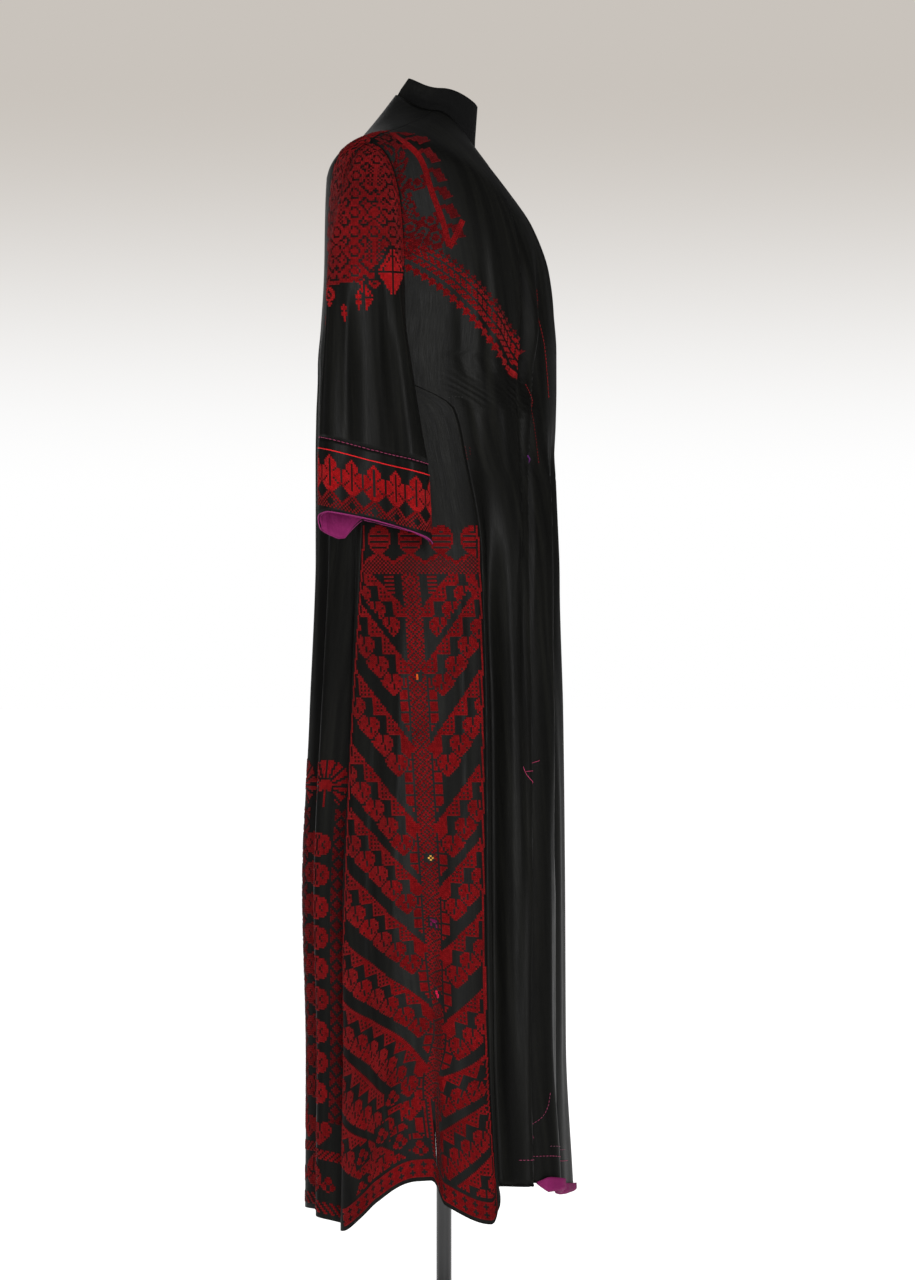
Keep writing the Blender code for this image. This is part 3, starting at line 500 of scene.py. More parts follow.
def slit_angle(drop):
    """Half the front opening's angle, which is nothing below its foot."""
    share = at_drop("slit", drop) / at_drop("width", drop)
    half = np.degrees(np.arcsin(share ** (at_drop("square", drop) / 2)))
    return np.where(drop < SLIT_END, half, 0)


def at_sleeve(name, drop):
    return smooth(drop, column(SLEEVE, "drop"), column(SLEEVE, name))


def sleeve_ring_point(hand, around, drop):
    """Points of a sleeve's outer face, at degrees round from its outer line by way of the front."""
    turn = np.radians(around)
    power = 2 / at_sleeve("square", drop)
    lift = np.sign(np.cos(turn)) * np.abs(np.cos(turn)) ** power
    ahead = np.sign(np.sin(turn)) * np.abs(np.sin(turn)) ** power
    outer_x, outer_z, inner_x, inner_z, front, back = (
        at_sleeve(name, drop) for name in ("outer_x", "outer_z", "inner_x", "inner_z", "front", "back")
    )
    x = (outer_x + inner_x) / 2 + lift * (outer_x - inner_x) / 2
    z = (outer_z + inner_z) / 2 + lift * (outer_z - inner_z) / 2
    reach = (front + back) / 2 + ahead * (front - back) / 2
    z = z - CUFF_HEM_TILT * ahead * eased(drop, SLEEVE_HEM - CUFF_DEPTH - 20, SLEEVE_HEM) / 2
    pushed = crease_height(SLEEVE_CREASES, around, drop, hand)
    for fold in SLEEVE_FOLDS:
        away = wrapped(around - fold.angle)
        grown = eased(drop, fold.start, fold.full) * (fold.hand == hand)
        pushed = pushed + fold.height * grown * np.exp(-((away / fold.width) ** 2))
    x = x + pushed * np.sign(lift) * np.abs(lift) ** 0.5
    return np.stack([hand * x, -reach, z], -1)


def armhole_shift(hand):
    """How far the sleeve's first ring is moved to meet the body's armhole, at each degree round it."""
    down = np.linspace(ARMHOLE_TOP, ARMHOLE_FOOT, 241)
    lift = armhole_lift(down)
    turned = np.degrees(np.arccos(np.sign(lift) * np.abs(lift) ** (SLEEVE[0].square / 2)))
    around = np.arange(0, 361.0)
    drop = np.interp(np.minimum(around, 360 - around), turned, down)
    angle = hand * np.where(around < 180, front_seam(drop), back_seam(drop))
    return body_point(angle, drop) - sleeve_ring_point(hand, around, np.zeros(len(around)))


ARMHOLE_SHIFT = {hand: armhole_shift(hand) for hand in (-1, 1)}


def sleeve_point(hand, around, drop):
    """Points of a sleeve's outer face, where its top edge meets the body's armhole."""
    around = around % 360
    shift = [np.interp(around, np.arange(361), ARMHOLE_SHIFT[hand][:, i]) for i in range(3)]
    return sleeve_ring_point(hand, around, drop) + np.stack(shift, -1) * (1 - eased(drop, 0, 14))[..., None]


def level_line(hand, level):
    """The drop round a sleeve at which a plane that slopes down to the front cuts it."""
    drops = np.arange(STRAIGHT_TO, SLEEVE_HEM + 0.1, 1.0)
    turns, grid = np.meshgrid(AROUND, drops, indexing="ij")
    points = sleeve_point(hand, turns, grid)
    rows = points[..., 2] - CUFF_SLOPE * points[..., 1]
    wanted = np.broadcast_to(level, AROUND.shape)
    return np.array([np.interp(-want, -row, drops) for want, row in zip(wanted, rows)])


HEM_LEVEL = np.interp(AROUND, column(CUFF_HEM, "angle"), column(CUFF_HEM, "level"))
SLOPES = {hand: (level_line(hand, SEAM_LEVEL), level_line(hand, HEM_LEVEL)) for hand in (-1, 1)}


def row_drop(hand, around, row):
    """The drop of a sleeve's row, as the cuff's seam and hem slope."""
    seam, hem = (np.interp(around % 360, AROUND, table) for table in SLOPES[hand])
    above = STRAIGHT_TO + (row - STRAIGHT_TO) / (CUFF_TOP - STRAIGHT_TO) * (seam - STRAIGHT_TO)
    below = seam + (row - CUFF_TOP) / (SLEEVE_HEM - CUFF_TOP) * (hem - seam)
    return np.where(row < STRAIGHT_TO, row, np.where(row < CUFF_TOP, above, below))


def tube_point(hand, around, row):
    """Points of a sleeve's outer face at its rows."""
    return sleeve_point(hand, around, row_drop(hand, around, row))


def direction_of(point, turn, down, step_turn=0.05, step_down=0.4):
    """The normals of a surface given by a function of two measures."""
    along_turn = point(turn + step_turn, down) - point(turn - step_turn, down)
    along_down = point(turn, down + step_down) - point(turn, down - step_down)
    normal = np.cross(along_down, along_turn)
    return normal / np.maximum(np.linalg.norm(normal, axis=-1, keepdims=True), 1e-9)


class Flat:
    """A panel of hung cloth laid flat. Across is measured from the panel's middle line and down from its
    top, both along the cloth, so that what is sewn on it keeps its real size."""

    across_step, down_step = 1.5, 3.0

    def __init__(self, surface, downs, first, middle, last, facing):
        self.surface = surface
        self.facing = facing
        self.downs = np.arange(downs[0], downs[1] + self.down_step, self.down_step)
        start, centre, end = (np.broadcast_to(f(self.downs), self.downs.shape) for f in (first, middle, last))
        share = np.linspace(0, 1, 360)
        turns = start[:, None] + (end - start)[:, None] * share
        points = surface(turns, np.broadcast_to(self.downs[:, None], turns.shape))
        lengths = run_along(points)
        rows = zip(centre, turns, lengths, np.sign(end - start))
        zero = np.array([np.interp(c * sign, row * sign, arc) for c, row, arc, sign in rows])
        lengths = lengths - zero[:, None]
        self.low, self.high = lengths[:, 0], lengths[:, -1]
        self.acrosses = np.arange(self.low.min() - 3, self.high.max() + 3, self.across_step)
        self.turns = np.array([np.interp(self.acrosses, arc, row) for arc, row in zip(lengths, turns)])

    def turn(self, across, down):
        """The turn at which the panel's surface has this point."""
        row = (down - self.downs[0]) / self.down_step
        return read_grid(self.turns, row, (across - self.acrosses[0]) / self.across_step)

    def holds(self, across, down, margin):
        """Whether a point lies on the panel, this far inside its side edges."""
        low = np.interp(down, self.downs, self.low)
        high = np.interp(down, self.downs, self.high)
        return (across > low + margin) & (across < high - margin)

    def place(self, across, down, lift=0.0):
        """Points of the hung cloth, raised off it by lift."""
        turn = self.turn(across, down)
        low, high = self.downs[0] + 0.5, self.downs[-1] - 3.5
        normal = self.facing * direction_of(self.surface, turn, np.clip(down, low, high))
        return self.surface(turn, down) + normal * np.asarray(lift)[..., None]


def body_flat(hand, downs, first, middle, last):
    """A flat whose turns are degrees from the centre front on one side of the body."""
    return Flat(lambda turn, down: body_point(hand * turn, down), downs, first, middle, last, hand)


def chart(*rows):
    """A motif from rows of text, in which a dot is bare cloth."""
    return np.array([[mark != "." for mark in row] for row in rows])


def mirrored(quarter):
    """A whole motif from its upper left quarter."""
    half = np.concatenate([quarter, quarter[:, ::-1]], axis=1)
    return np.concatenate([half, half[::-1]], axis=0)


BUD = chart(
    "..###.......",
    ".#####.###..",
    "######.####.",
    "#.####.#####",
    "######.###.#",
    ".####.######",
    ".######.####",
    "..#.###.###.",
    "...####.#.#.",
    "....######..",
    ".....####...",
    "......##....",
)
PALMETTE = chart(
    ".....#.....",
    "....###....",
    "...##.##...",
    "..###.###..",
    ".####.####.",
    ".####.####.",
    "#####.#####",
    "#.###.###.#",
    "##.##.##.##",
    "###.....###",
    "####.#.####",
    "###.###.###",
    ".#.#####.#.",
    ".#########.",
    "..#######..",
    "...#####...",
    ".....#.....",
)
ROUNDEL = chart(
    "....####....",
    "..########..",
    ".##########.",
    ".####..####.",
    "############",
    "#..........#",
    "############",
    "############",
    "#..........#",
    "############",
    ".##########.",
    ".#........#.",
    "..########..",
    "...######...",
    "....####....",
    "...##..##...",
)
DISC = chart(
    ".....#####.....",
    "..####.#.####..",
    ".#####.#.#####.",
    ".######.######.",
    "###.###.###.###",
    "####.##.##.####",
    "####.##.##.####",
    "###.###.###.###",
    ".######.######.",
    ".#####.#.#####.",
    "..####.#.####..",
    ".....#####.....",
)
SPRIG = chart(
    "...##...",
    "..####..",
    "..####..",
    ".#.##.#.",
    "###..###",
    "###..###",
    ".##..##.",
    "...##...",
)
SCROLL = chart(
    "..#####...",
    ".###.###..",
    "###...###.",
    "##.##..##.",
    "##..##.##.",
    ".##...###.",
    "..######..",
    "....##....",
    "...####...",
    "....##....",
)
DROP = chart("..#..", ".###.", ".###.", "..#..", ".###.", ".###.", "..#..", "..#..", "..#..")
GOLD_FLOWER = chart(".#.", "#.#", ".#.")


def stamp(cloth, motif, row, column, floss=RED):
    """Draws a motif on a chart with its middle at this row and column."""
    top, left = int(round(row - motif.shape[0] / 2)), int(round(column - motif.shape[1] / 2))
    r0, c0 = max(top, 0), max(left, 0)
    r1, c1 = min(top + motif.shape[0], cloth.shape[0]), min(left + motif.shape[1], cloth.shape[1])
    if r1 > r0 and c1 > c0:
        part = motif[r0 - top:r1 - top, c0 - left:c1 - left]
        cloth[r0:r1, c0:c1][part] = floss


def cleared(cloth, shape, row, column):
    """Bares a block of a chart, for a motif to stand in."""
    stamp(cloth, np.ones(shape, bool), row, column, 0)


def outlined(cloth, motif, row, column, floss=RED):
    """A motif with a row of bare cloth all round it."""
    wide = np.pad(motif, 1)
    around = wide | np.roll(wide, 1, 0) | np.roll(wide, -1, 0) | np.roll(wide, 1, 1) | np.roll(wide, -1, 1)
    stamp(cloth, around, row, column, 0)
    stamp(cloth, motif, row, column, floss)


def blank(rows, half):
    """An empty chart, and its cells' places, counted in stitches from the middle line and the top row."""
    i, j = np.meshgrid(np.arange(-half, half + 1), np.arange(rows))
    return np.zeros(i.shape, int), i, j


def dotted(i, j):
    """Every other stitch of every other row."""
    return (i % 2 == 0) & (j % 2 == 0)


def gore_chart():
    """The side panel's rising arms, blocks of lattice over a row of buds, on both sides of a column."""
    rows, half = int((BODY_HEM - GORE_TOP) / STITCH), 62
    cloth, i, j = blank(rows, half)
    away = np.abs(i)
    tips = [(arm.drop - GORE_TOP) / STITCH for arm in ARMS]
    column = (away + np.abs(j % 8 - 4)) % 3 != 1
    cloth[(away <= 4) & column & (j > 24)] = RED
    cloth[(away >= 6) & (away <= 9) & (j % 6 < 5) & (j > tips[1] + 2)] = RED
    for tip, arm in zip(tips, ARMS):
        block = np.floor((away - 4) / BLOCK)
        edge = tip - 4 - arm.slope * (away - 4)
        foot = tip - arm.slope * BLOCK * block
        reached = (away >= 4) & (j > (22 if arm is ARMS[0] else 16))
        above = reached & (j < edge) & (j > edge - 5) & (away > 4)
        cloth[above] = 0
        inside = reached & (j >= edge) & (j <= foot)
        cloth[inside & ~dotted(i, j)] = RED
        cloth[inside & ((j < edge + 1.5) | (j > foot - 1) | ((away - 4) % BLOCK == BLOCK - 1))] = RED
        for k in range(8):
            row = tip - arm.slope * BLOCK * k + 6
            if row > 28:
                outlined(cloth, BUD, row, half - (13 + BLOCK * k))
                outlined(cloth, BUD[:, ::-1], row, half + 14 + BLOCK * k)
    dip = 15 + np.abs((i + 8) % 16 - 8) * 0.6
    band = (j >= dip - 2) & (j < 25)
    cloth[band] = np.where(((i + j) % 2 == 0) | (j < dip), RED, 0)[band]
    for side in (-1, 1):
        bars = (np.abs(i - side * 11) <= 2) & (j > 24) & (j < 36) & (j % 2 == 0)
        cloth[bars] = RED
        stamp(cloth, SPRIG, 32, half + side * 33)
        for place in (16, 32, 48):
            stamp(cloth, ROUNDEL, 8, half + side * place)
    stamp(cloth, ROUNDEL, 8, half)
    slit = j > (SIDE_SLIT_TOP - 22 - GORE_TOP) / STITCH
    cloth[slit & (away <= 6)] = 0
    cloth[slit & ((away == 2) | (away == 5) | ((away == 3) & (j % 2 == 0)))] = RED
    for row, column, motif in (
        (300, 22, SPRIG), (316, 30, SPRIG), (310, 12, BUD), (325, 20, SPRIG), (326, 38, BUD),
        (318, 45, SPRIG), (332, 30, BUD), (331, 10, SPRIG), (334, 48, SPRIG),
    ):
        cleared(cloth, (11, 10), row, half + column)
        stamp(cloth, motif, row, half + column)
    border = j - (rows - 11)
    cloth[border >= -2] = 0
    band = (border >= 0) & (border <= 8)
    cloth[band & ((np.abs(i % 6 - 3) + np.abs(border % 4 - 2) > 1) | (border % 8 == 0))] = RED
    for drop, motif, floss in (
        (982, GOLD_FLOWER, GOLD), (1066, SPRIG[2:6, 2:6], PLUM), (1156, DROP[:4], PINK),
        (765, DROP[:3, 2:3], ORANGE),
    ):
        row = (drop - GORE_TOP) / STITCH
        cleared(cloth, (motif.shape[0] + 2, motif.shape[1] + 2), row, half)
        stamp(cloth, motif, row, half, floss)
    return cloth, half


def fan_chart():
    """A large palmette: a fan of petals over two leaves."""
    _, i, j = blank(26, 13)
    reach = np.hypot(i, 15 - j)
    turn = np.degrees(np.arctan2(np.abs(i), 15 - j))
    gap = np.abs((turn + 11) % 22 - 11) * np.radians(1) * reach
    petals = (reach < 13.6 - (turn > 100) * 1.5) & (turn < 140) & ((gap > 0.7) | (reach < 4))
    stalk = (np.abs(i) < 1) & (j > 15)
    return petals | stalk


FAN = fan_chart()


def back_chart():
    """The back's lower panel: columns of discs between zigzag columns, over leaves and a border."""
    rows, half = int((BODY_HEM - BACK_TOP) / STITCH), 112
    cloth, i, j = blank(rows, half)
    between = np.min([np.abs(np.abs(i) - ladder) for ladder in (10, 30, 50, 69, 91)], axis=0)
    body = (j > 27) & (j < rows - 48)
    cloth[body & (between <= 3) & ((between + np.abs(j % 10 - 5)) % 5 < 3)] = DEEP
    for place in DISC_COLUMNS:
        for column in {place, -place}:
            for row in np.arange(46, rows - 54, 15.3):
                stamp(cloth, DISC, row, half + column)
            if place in DISC_COLUMNS[::2]:
                stamp(cloth, FAN, 14, half + column + 3 * np.sign(column))
            stamp(cloth, BUD, rows - 42, half + column - 5)
            stamp(cloth, BUD[:, ::-1], rows - 42, half + column + 5)
            stamp(cloth, PALMETTE, rows - 19, half + column)
            stamp(cloth, SPRIG, rows - 17, half + column + 10)
    cloth[(j > rows - 35) & (j < rows - 29) & ((i + j) % 3 > 0)] = RED
    cloth[(j > rows - 9) & (j < rows - 2) & ((i - j) % 4 < 2)] = RED
    return cloth, half


SMALL_TILES = (
    mirrored(chart(".##.#", "####.", "##..#", ".#.##", "#.###")),
    mirrored(chart("#..##", "..###", ".##..", "###.#", "##.##")),
    mirrored(chart("#.#.#", "##.##", "#.#.#", "##.##", "..#.#")),
    chart(*(("##..##..##", "##########", ".####.###.", "..##...#..", "#......#.#") * 2)),
)


def filling(i, j):
    """Small tiles of flowers, diamonds, lattice and bars that fill a whole area."""
    across, down = i // 10, j // 10
    kind = (across * 3 + down * 5 + across * down) % 4
    filled = np.zeros(kind.shape, bool)
    for number, motif in enumerate(SMALL_TILES):
        filled |= (kind == number) & motif[j % 10, i % 10]
    return filled


def lozenge(wide, tall, whole=False):
    """A diamond, whole or in four parts with bare lines between them and inside its upper edges."""
    i, j = np.meshgrid(np.arange(-wide, wide + 1), np.arange(-tall, tall + 1))
    from_middle = np.abs(i) / wide + np.abs(j) / tall
    parts = (i != 0) & (j != 0) & ~((from_middle > 0.7) & (from_middle < 0.8) & (j < 0))
    return (from_middle <= 1) & (parts | whole)


def shoulder_chart():
    """The filling behind the sleeve's head, on the back."""
    half = 24
    _, i, j = blank(104, half)
    width = np.interp(j, (0, 12, 60, 92, 103), (14, 22, 18, 9, 3))
    cloth = np.where(filling(i, j), RED, np.where(dotted(i, j), DEEP, 0)) * (i < width - 3)
    cloth[(i >= width - 2) & (i < width)] = RED
    cloth[(np.abs(i - width - 3) + np.abs(j % 8 - 4) < 3.5) & (i > width)] = RED
    cloth[i < 0] = 0
    return cloth, half


def cap_chart():
    """The sleeve's head, filled with squares of lattice and rosettes, with pendants along its foot."""
    rows, half = 125, 106
    cloth, i, j = blank(rows, half)
    turns = (-106, -60, -48, -36, -30, -20, -6, 4, 12, 24, 36, 60, 106)
    foot = np.interp(i, turns, (70, 84, 112, 112, 86, 82, 80, 84, 78, 70, 66, 70, 60))
    cloth[j < foot] = np.where(filling(i, j), RED, np.where(dotted(i, j), DEEP, 0))[j < foot]
    cloth[(j >= foot - 2) & (j < foot)] = RED
    for wide, tall, row, column in ((8, 13, 76, 14), (5, 8, 88, 0)):
        stamp(cloth, lozenge(wide + 1, tall + 2, True), row, half + column, 0)
        stamp(cloth, lozenge(wide, tall), row, half + column, BRIGHT)
    for motif, row, column in (
        (SCROLL, 88, -20), (DROP, 96, -12), (DROP, 90, -4), (SPRIG, 86, -30), (SCROLL, 94, -38),
        (DROP, 100, -30), (SPRIG, 76, 40), (DROP, 84, 44), (SPRIG, 80, 56), (DROP, 88, 62), (SCROLL, 84, -84),
    ):
        cleared(cloth, motif.shape, row, half + column)
        stamp(cloth, motif, row, half + column, BRIGHT)
    return cloth, half


def cuff_chart():
    """The cuff's row of palmettes over a zigzag of lattice."""
    half = 96
    cloth, i, j = blank(30, half)
    side = (i + 120) % 12 - 6
    lattice = (j > 12) & (j < 27) & ((i + j) % 2 == 0)
    gap = np.abs(np.abs(side) - 6) + np.abs(j - 18)
    cloth[lattice] = RED
    cloth[(j > 12) & (j < 27) & (gap >= 5) & (gap < 6.5)] = RED
    cloth[(gap < 5) & (j > 12)] = 0
    drop = np.abs(side) + np.abs(j - 23)
    cloth[(drop < 2) & (j < 27)] = 0
    wide = np.interp(j, (0, 2, 6, 11, 15, 18), (0.4, 2.4, 5.2, 5.6, 4.2, 1))
    leaf = (np.abs(side) <= wide) & (j < 18)
    cloth[leaf] = BRIGHT
    veins = (side == 0) | ((np.abs(side) == np.abs(j - 9)) & (np.abs(side) > 1))
    cloth[leaf & veins & (j > 1) & (j < 16)] = 0
    return np.roll(cloth, 6, axis=1), half


def hex_colour(code):
    """An sRGB hex colour as the linear values that Blender's sockets take."""
    parts = [int(code[i:i + 2], 16) / 255 for i in (1, 3, 5)]
    return tuple(p / 12.92 if p <= 0.04045 else ((p + 0.055) / 1.055) ** 2.4 for p in parts)


def paint(code):
    """An sRGB hex colour with its alpha, for a colour socket."""
    return (*hex_colour(code), 1)


def node(tree, kind, inputs=None, out=0, **settings):
    """Adds a node with its settings, and its values and links by the name or number of each input, and gives
    back one of its outputs."""
    made = tree.nodes.new(kind)
    for name, value in settings.items():
        setattr(made, name, value)
    for name, value in (inputs or {}).items():
        if isinstance(value, bpy.types.NodeSocket):
            tree.links.new(value, made.inputs[name])
        else:
            made.inputs[name].default_value = value
    return made.outputs[out] if made.outputs else None


def new_material(name, **values):
    """A material with a plain Principled shader, whose constants go straight on its sockets."""
    material = bpy.data.materials.get(name)
    if material:
        return material, None, None
    material = bpy.data.materials.new(name)
    material.use_nodes = True
    shader = material.node_tree.nodes["Principled BSDF"]
    for key, value in values.items():
        shader.inputs[key.replace("_", " ").title().replace("Ior", "IOR")].default_value = value
    return material, material.node_tree, shader


def finish_shader(tree, shader, colour, roughness=None, height=None, depth=0.0, strength=1.0):
    """Links what varies over the surface."""
    tree.links.new(colour, shader.inputs["Base Color"])
    if roughness:
        tree.links.new(roughness, shader.inputs["Roughness"])
    if height:
        bump = node(tree, "ShaderNodeBump", {"Height": height, "Distance": depth, "Strength": strength})
        tree.links.new(bump, shader.inputs["Normal"])


def grain(tree, vector, sizes, detail=2.0, rough=0.5):
    """An uneven grain with these sizes in metres along the vector's three measures."""
    sized = node(tree, "ShaderNodeMapping", {"Vector": vector, "Scale": [1 / size for size in sizes]})
    values = {"Vector": sized, "Scale": 1.0, "Detail": detail, "Roughness": rough}
    return node(tree, "ShaderNodeTexNoise", values, "Fac")


# Settings of the nodes that move values to another range and that mix colours
EASE = {"interpolation_type": "SMOOTHSTEP"}
COLOURS = {"data_type": "RGBA"}
# The painted shade that the floss is darkened to between its two strands.
STRAND_PAINTED_SHADE = (0.004, 0.003, 0.003, 1)


def black_satin():
    """Black warp-faced satin, woven. Its floats run down the cloth and vary its gloss in streaks, and the
    pale streaks in its colour are partly slubs in the warp and partly a painted soft vertical sheen.
    Threads are 0.2 mm apart and are drawn at 0.8 mm, to show at all."""
    values = bpy.context.scene.thobe
    material, tree, shader = new_material("black_satin", roughness=0.42, specular_ior_level=0.045)
    if tree:
        flat = node(tree, "ShaderNodeUVMap", uv_map="flat")
        warp = grain(tree, flat, (0.0008, 0.03, 1), 3.0, 0.6)
        slub_and_sheen = grain(tree, flat, (0.011, 0.3, 1), 3.0, 0.55)
        cloud = grain(tree, flat, (0.06, 0.16, 1))
        weft = grain(tree, flat, (0.01, 0.0009, 1), 1.0)
        dark, light = (*values.satin_dark, 1), (*values.satin_slub_and_sheen, 1)
        # Pale streaks of colour: partly slubs in the warp, partly a painted vertical sheen
        streak = node(tree, "ShaderNodeMapRange", {0: slub_and_sheen, 1: 0.35, 2: 0.8, 4: 0.55}, **EASE)
        colour = node(tree, "ShaderNodeMix", {0: streak, 6: dark, 7: light}, 2, **COLOURS)
        shadow = node(tree, "ShaderNodeMapRange", {0: cloud, 1: 0.3, 2: 0.75, 4: 0.6}, **EASE)
        colour = node(tree, "ShaderNodeMix", {0: shadow, 6: colour, 7: dark}, 2, **COLOURS)
        rough = node(tree, "ShaderNodeMapRange", {0: warp, 1: 0.3, 2: 0.7, 3: 0.34, 4: 0.5}, **EASE)
        height = node(tree, "ShaderNodeMath", {0: warp, 1: weft}, operation="ADD")
        finish_shader(tree, shader, colour, rough, height, 0.0002, 0.5)
    return material


def silk_floss():
    """Twisted silk floss, dyed. Two strands cross in each stitch, and painted shade darkens the floss between
    them.
    """
    material, tree, shader = new_material(
        "silk_floss", roughness=0.5, sheen_weight=0.01, sheen_roughness=0.4, specular_ior_level=0.06,
    )
    if tree:
        colour = node(tree, "ShaderNodeAttribute", None, "Color", attribute_name="floss")
        cell = node(tree, "ShaderNodeUVMap", uv_map="stitch")
        across = node(tree, "ShaderNodeSeparateXYZ", {0: cell})
        down = across.node.outputs[1]
        rising = node(tree, "ShaderNodeMath", {0: across, 1: down}, operation="SUBTRACT")
        total = node(tree, "ShaderNodeMath", {0: across, 1: down}, operation="ADD")
        falling = node(tree, "ShaderNodeMath", {0: total, 1: 1.0}, operation="SUBTRACT")
        rising, falling = (
            node(tree, "ShaderNodeMath", {0: line}, operation="ABSOLUTE") for line in (rising, falling)
        )
        near = node(tree, "ShaderNodeMath", {0: rising, 1: falling}, operation="MINIMUM")
        height = node(tree, "ShaderNodeMapRange", {0: near, 2: 0.42, 3: 1.0, 4: 0.0}, **EASE)
        # Painted shade: the floss darkens away from its two strands
        shade = node(tree, "ShaderNodeMapRange", {0: near, 1: 0.22, 2: 0.5, 4: 0.72}, **EASE)
        colour = node(tree, "ShaderNodeMix", {0: shade, 6: colour, 7: STRAND_PAINTED_SHADE}, 2, **COLOURS)
        finish_shader(tree, shader, colour, None, height, 0.0004, 0.8)
    return material


def facing_cotton():
    """Plain-woven dyed cotton, soft and dull, a little faded in patches."""
    values = bpy.context.scene.thobe
    material, tree, shader = new_material("facing_cotton", roughness=0.8, specular_ior_level=0.15)
    if tree:
        flat = node(tree, "ShaderNodeUVMap", uv_map="flat")
        weave = grain(tree, flat, (0.0012, 0.0012, 1))
        patch = grain(tree, flat, (0.02, 0.012, 1), 3.0)
        crumple = grain(tree, flat, (0.012, 0.022, 1), 3.0, 0.6)
        height = node(tree, "ShaderNodeMath", {0: crumple, 1: 9.0, 2: weave}, operation="MULTIPLY_ADD")
        base = (*values.facing_colour, 1)
        pale = tuple(min(1.0, c * 1.5 + 0.006) for c in values.facing_colour) + (1,)
        faded = node(tree, "ShaderNodeMapRange", {0: patch, 1: 0.4, 2: 0.75, 4: 0.6}, **EASE)
        colour = node(tree, "ShaderNodeMix", {0: faded, 6: base, 7: pale}, 2, **COLOURS)
        finish_shader(tree, shader, colour, None, height, 0.0003, 0.7)
    return material


def form_jersey():
    """Black cotton jersey stretched over the form, so dull that it hides its own shape."""
    material, tree, shader = new_material("form_jersey", roughness=0.95, specular_ior_level=0.08)
    if tree:
        place = node(tree, "ShaderNodeTexCoord", None, "Object")
        knit = grain(tree, place, (0.0011, 0.0011, 0.0016))
        patch = grain(tree, place, (0.05, 0.05, 0.05), 3.0)
        worn = node(tree, "ShaderNodeMapRange", {0: patch, 1: 0.4, 2: 0.7}, **EASE)
        black, rubbed = paint("#0c0c0c"), paint("#161615")
        colour = node(tree, "ShaderNodeMix", {0: worn, 6: black, 7: rubbed}, 2, **COLOURS)
        finish_shader(tree, shader, colour, None, knit, 0.0004, 0.6)
    return material


def stand_enamel():
    """Stoving enamel on steel: smooth, half gloss, with the faint unevenness of a sprayed coat."""
    material, tree, shader = new_material(
        "stand_enamel", roughness=0.35, coat_weight=0.15, coat_roughness=0.25,
    )
    if tree:
        place = node(tree, "ShaderNodeTexCoord", None, "Object")
        peel = grain(tree, place, (0.0025, 0.0025, 0.0025))
        wear = grain(tree, place, (0.03, 0.03, 0.12), 4.0, 0.6)
        worn = node(tree, "ShaderNodeMapRange", {0: wear, 1: 0.45, 2: 0.75}, **EASE)
        black, rubbed = paint("#0d0d0e"), paint("#1b1b1c")
        colour = node(tree, "ShaderNodeMix", {0: worn, 6: black, 7: rubbed}, 2, **COLOURS)
        rough = node(tree, "ShaderNodeMapRange", {0: wear, 1: 0.3, 2: 0.7, 3: 0.3, 4: 0.46}, **EASE)
        finish_shader(tree, shader, colour, rough, peel, 0.0001, 0.35)
    return material


def new_object(name, points, faces, material, smooth_shaded=True):
    """A mesh object from points in millimetres."""
    mesh = bpy.data.meshes.new(name)
    mesh.from_pydata((np.asarray(points) * MM).reshape(-1, 3).tolist(), [], np.asarray(faces).tolist())
    mesh.materials.append(material)
    made = bpy.data.objects.new(name, mesh)
    bpy.context.scene.collection.objects.link(made)
    if smooth_shaded:
        mesh.shade_smooth()
    return made


def smoothed(made, angle):
    """Shades a piece smooth, but for the edges that turn by more than this angle in degrees."""
    made.data.shade_smooth()
    made.data.set_sharp_from_angle(angle=math.radians(angle))


def grid_faces(rows, columns):
    r, c = np.meshgrid(np.arange(rows - 1), np.arange(columns - 1), indexing="ij")
    first = (r * columns + c).ravel()
    return np.stack([first, first + columns, first + columns + 1, first + 1], -1)


def cloth_sheet(name, parts, material, thickness, middle):
    """One sheet of cloth from grids of points and flat measures that lie side by side and share their edges.
    Its outer face looks away from a middle in plan, which for a tube is the middle of its own points."""
    points, flats, faces, start = [], [], [], 0
    for grid, flat in parts:
        rows, columns = grid.shape[:2]
        made_faces = grid_faces(rows, columns)
        corners = grid.reshape(-1, 3)
        a, b, c = (corners[made_faces[:, k]] for k in (0, 1, 2))
        centre = corners.mean(axis=0)[:2] if middle is None else np.array(middle)
        if np.sum(np.cross(b - a, c - a)[:, :2] * (a[:, :2] - centre)) < 0:
            made_faces = made_faces[:, ::-1]
        faces.append(made_faces + start)
        points.append(corners)
        flats.append(flat.reshape(-1, 2))
        start += rows * columns
    points, flats, faces = np.concatenate(points), np.concatenate(flats) * MM, np.concatenate(faces)
    made = new_object(name, points, faces, material)
    layer = made.data.uv_layers.new(name="flat")
    layer.data.foreach_set("uv", flats[faces.ravel()].ravel())
    work = bmesh.new()
    work.from_mesh(made.data)
    bmesh.ops.remove_doubles(work, verts=work.verts, dist=0.00001)
    work.to_mesh(made.data)
    work.free()
    made.data.shade_smooth()
    wall = made.modifiers.new("wall", "SOLIDIFY")
    wall.thickness = thickness * MM
    wall.offset = -1
    wall.use_even_offset = False
    finish_piece(made)
    return made


def finish_piece(made):
    """Applies a piece's modifiers and has it ride with the dress."""
    bpy.ops.object.select_all(action="DESELECT")
    bpy.context.view_layer.objects.active = made
    made.select_set(True)
    for modifier in list(made.modifiers):
        bpy.ops.object.modifier_apply(modifier=modifier.name)
    made.select_set(False)
    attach(made, "root")


def rows_between(*marks, step=8.0):
    """Even rows between marks, with a row on each of them."""
    spans = [np.linspace(a, b, max(2, int(round((b - a) / step)) + 1))[:-1] for a, b in zip(marks, marks[1:])]
    return np.concatenate([*spans, [marks[-1]]])


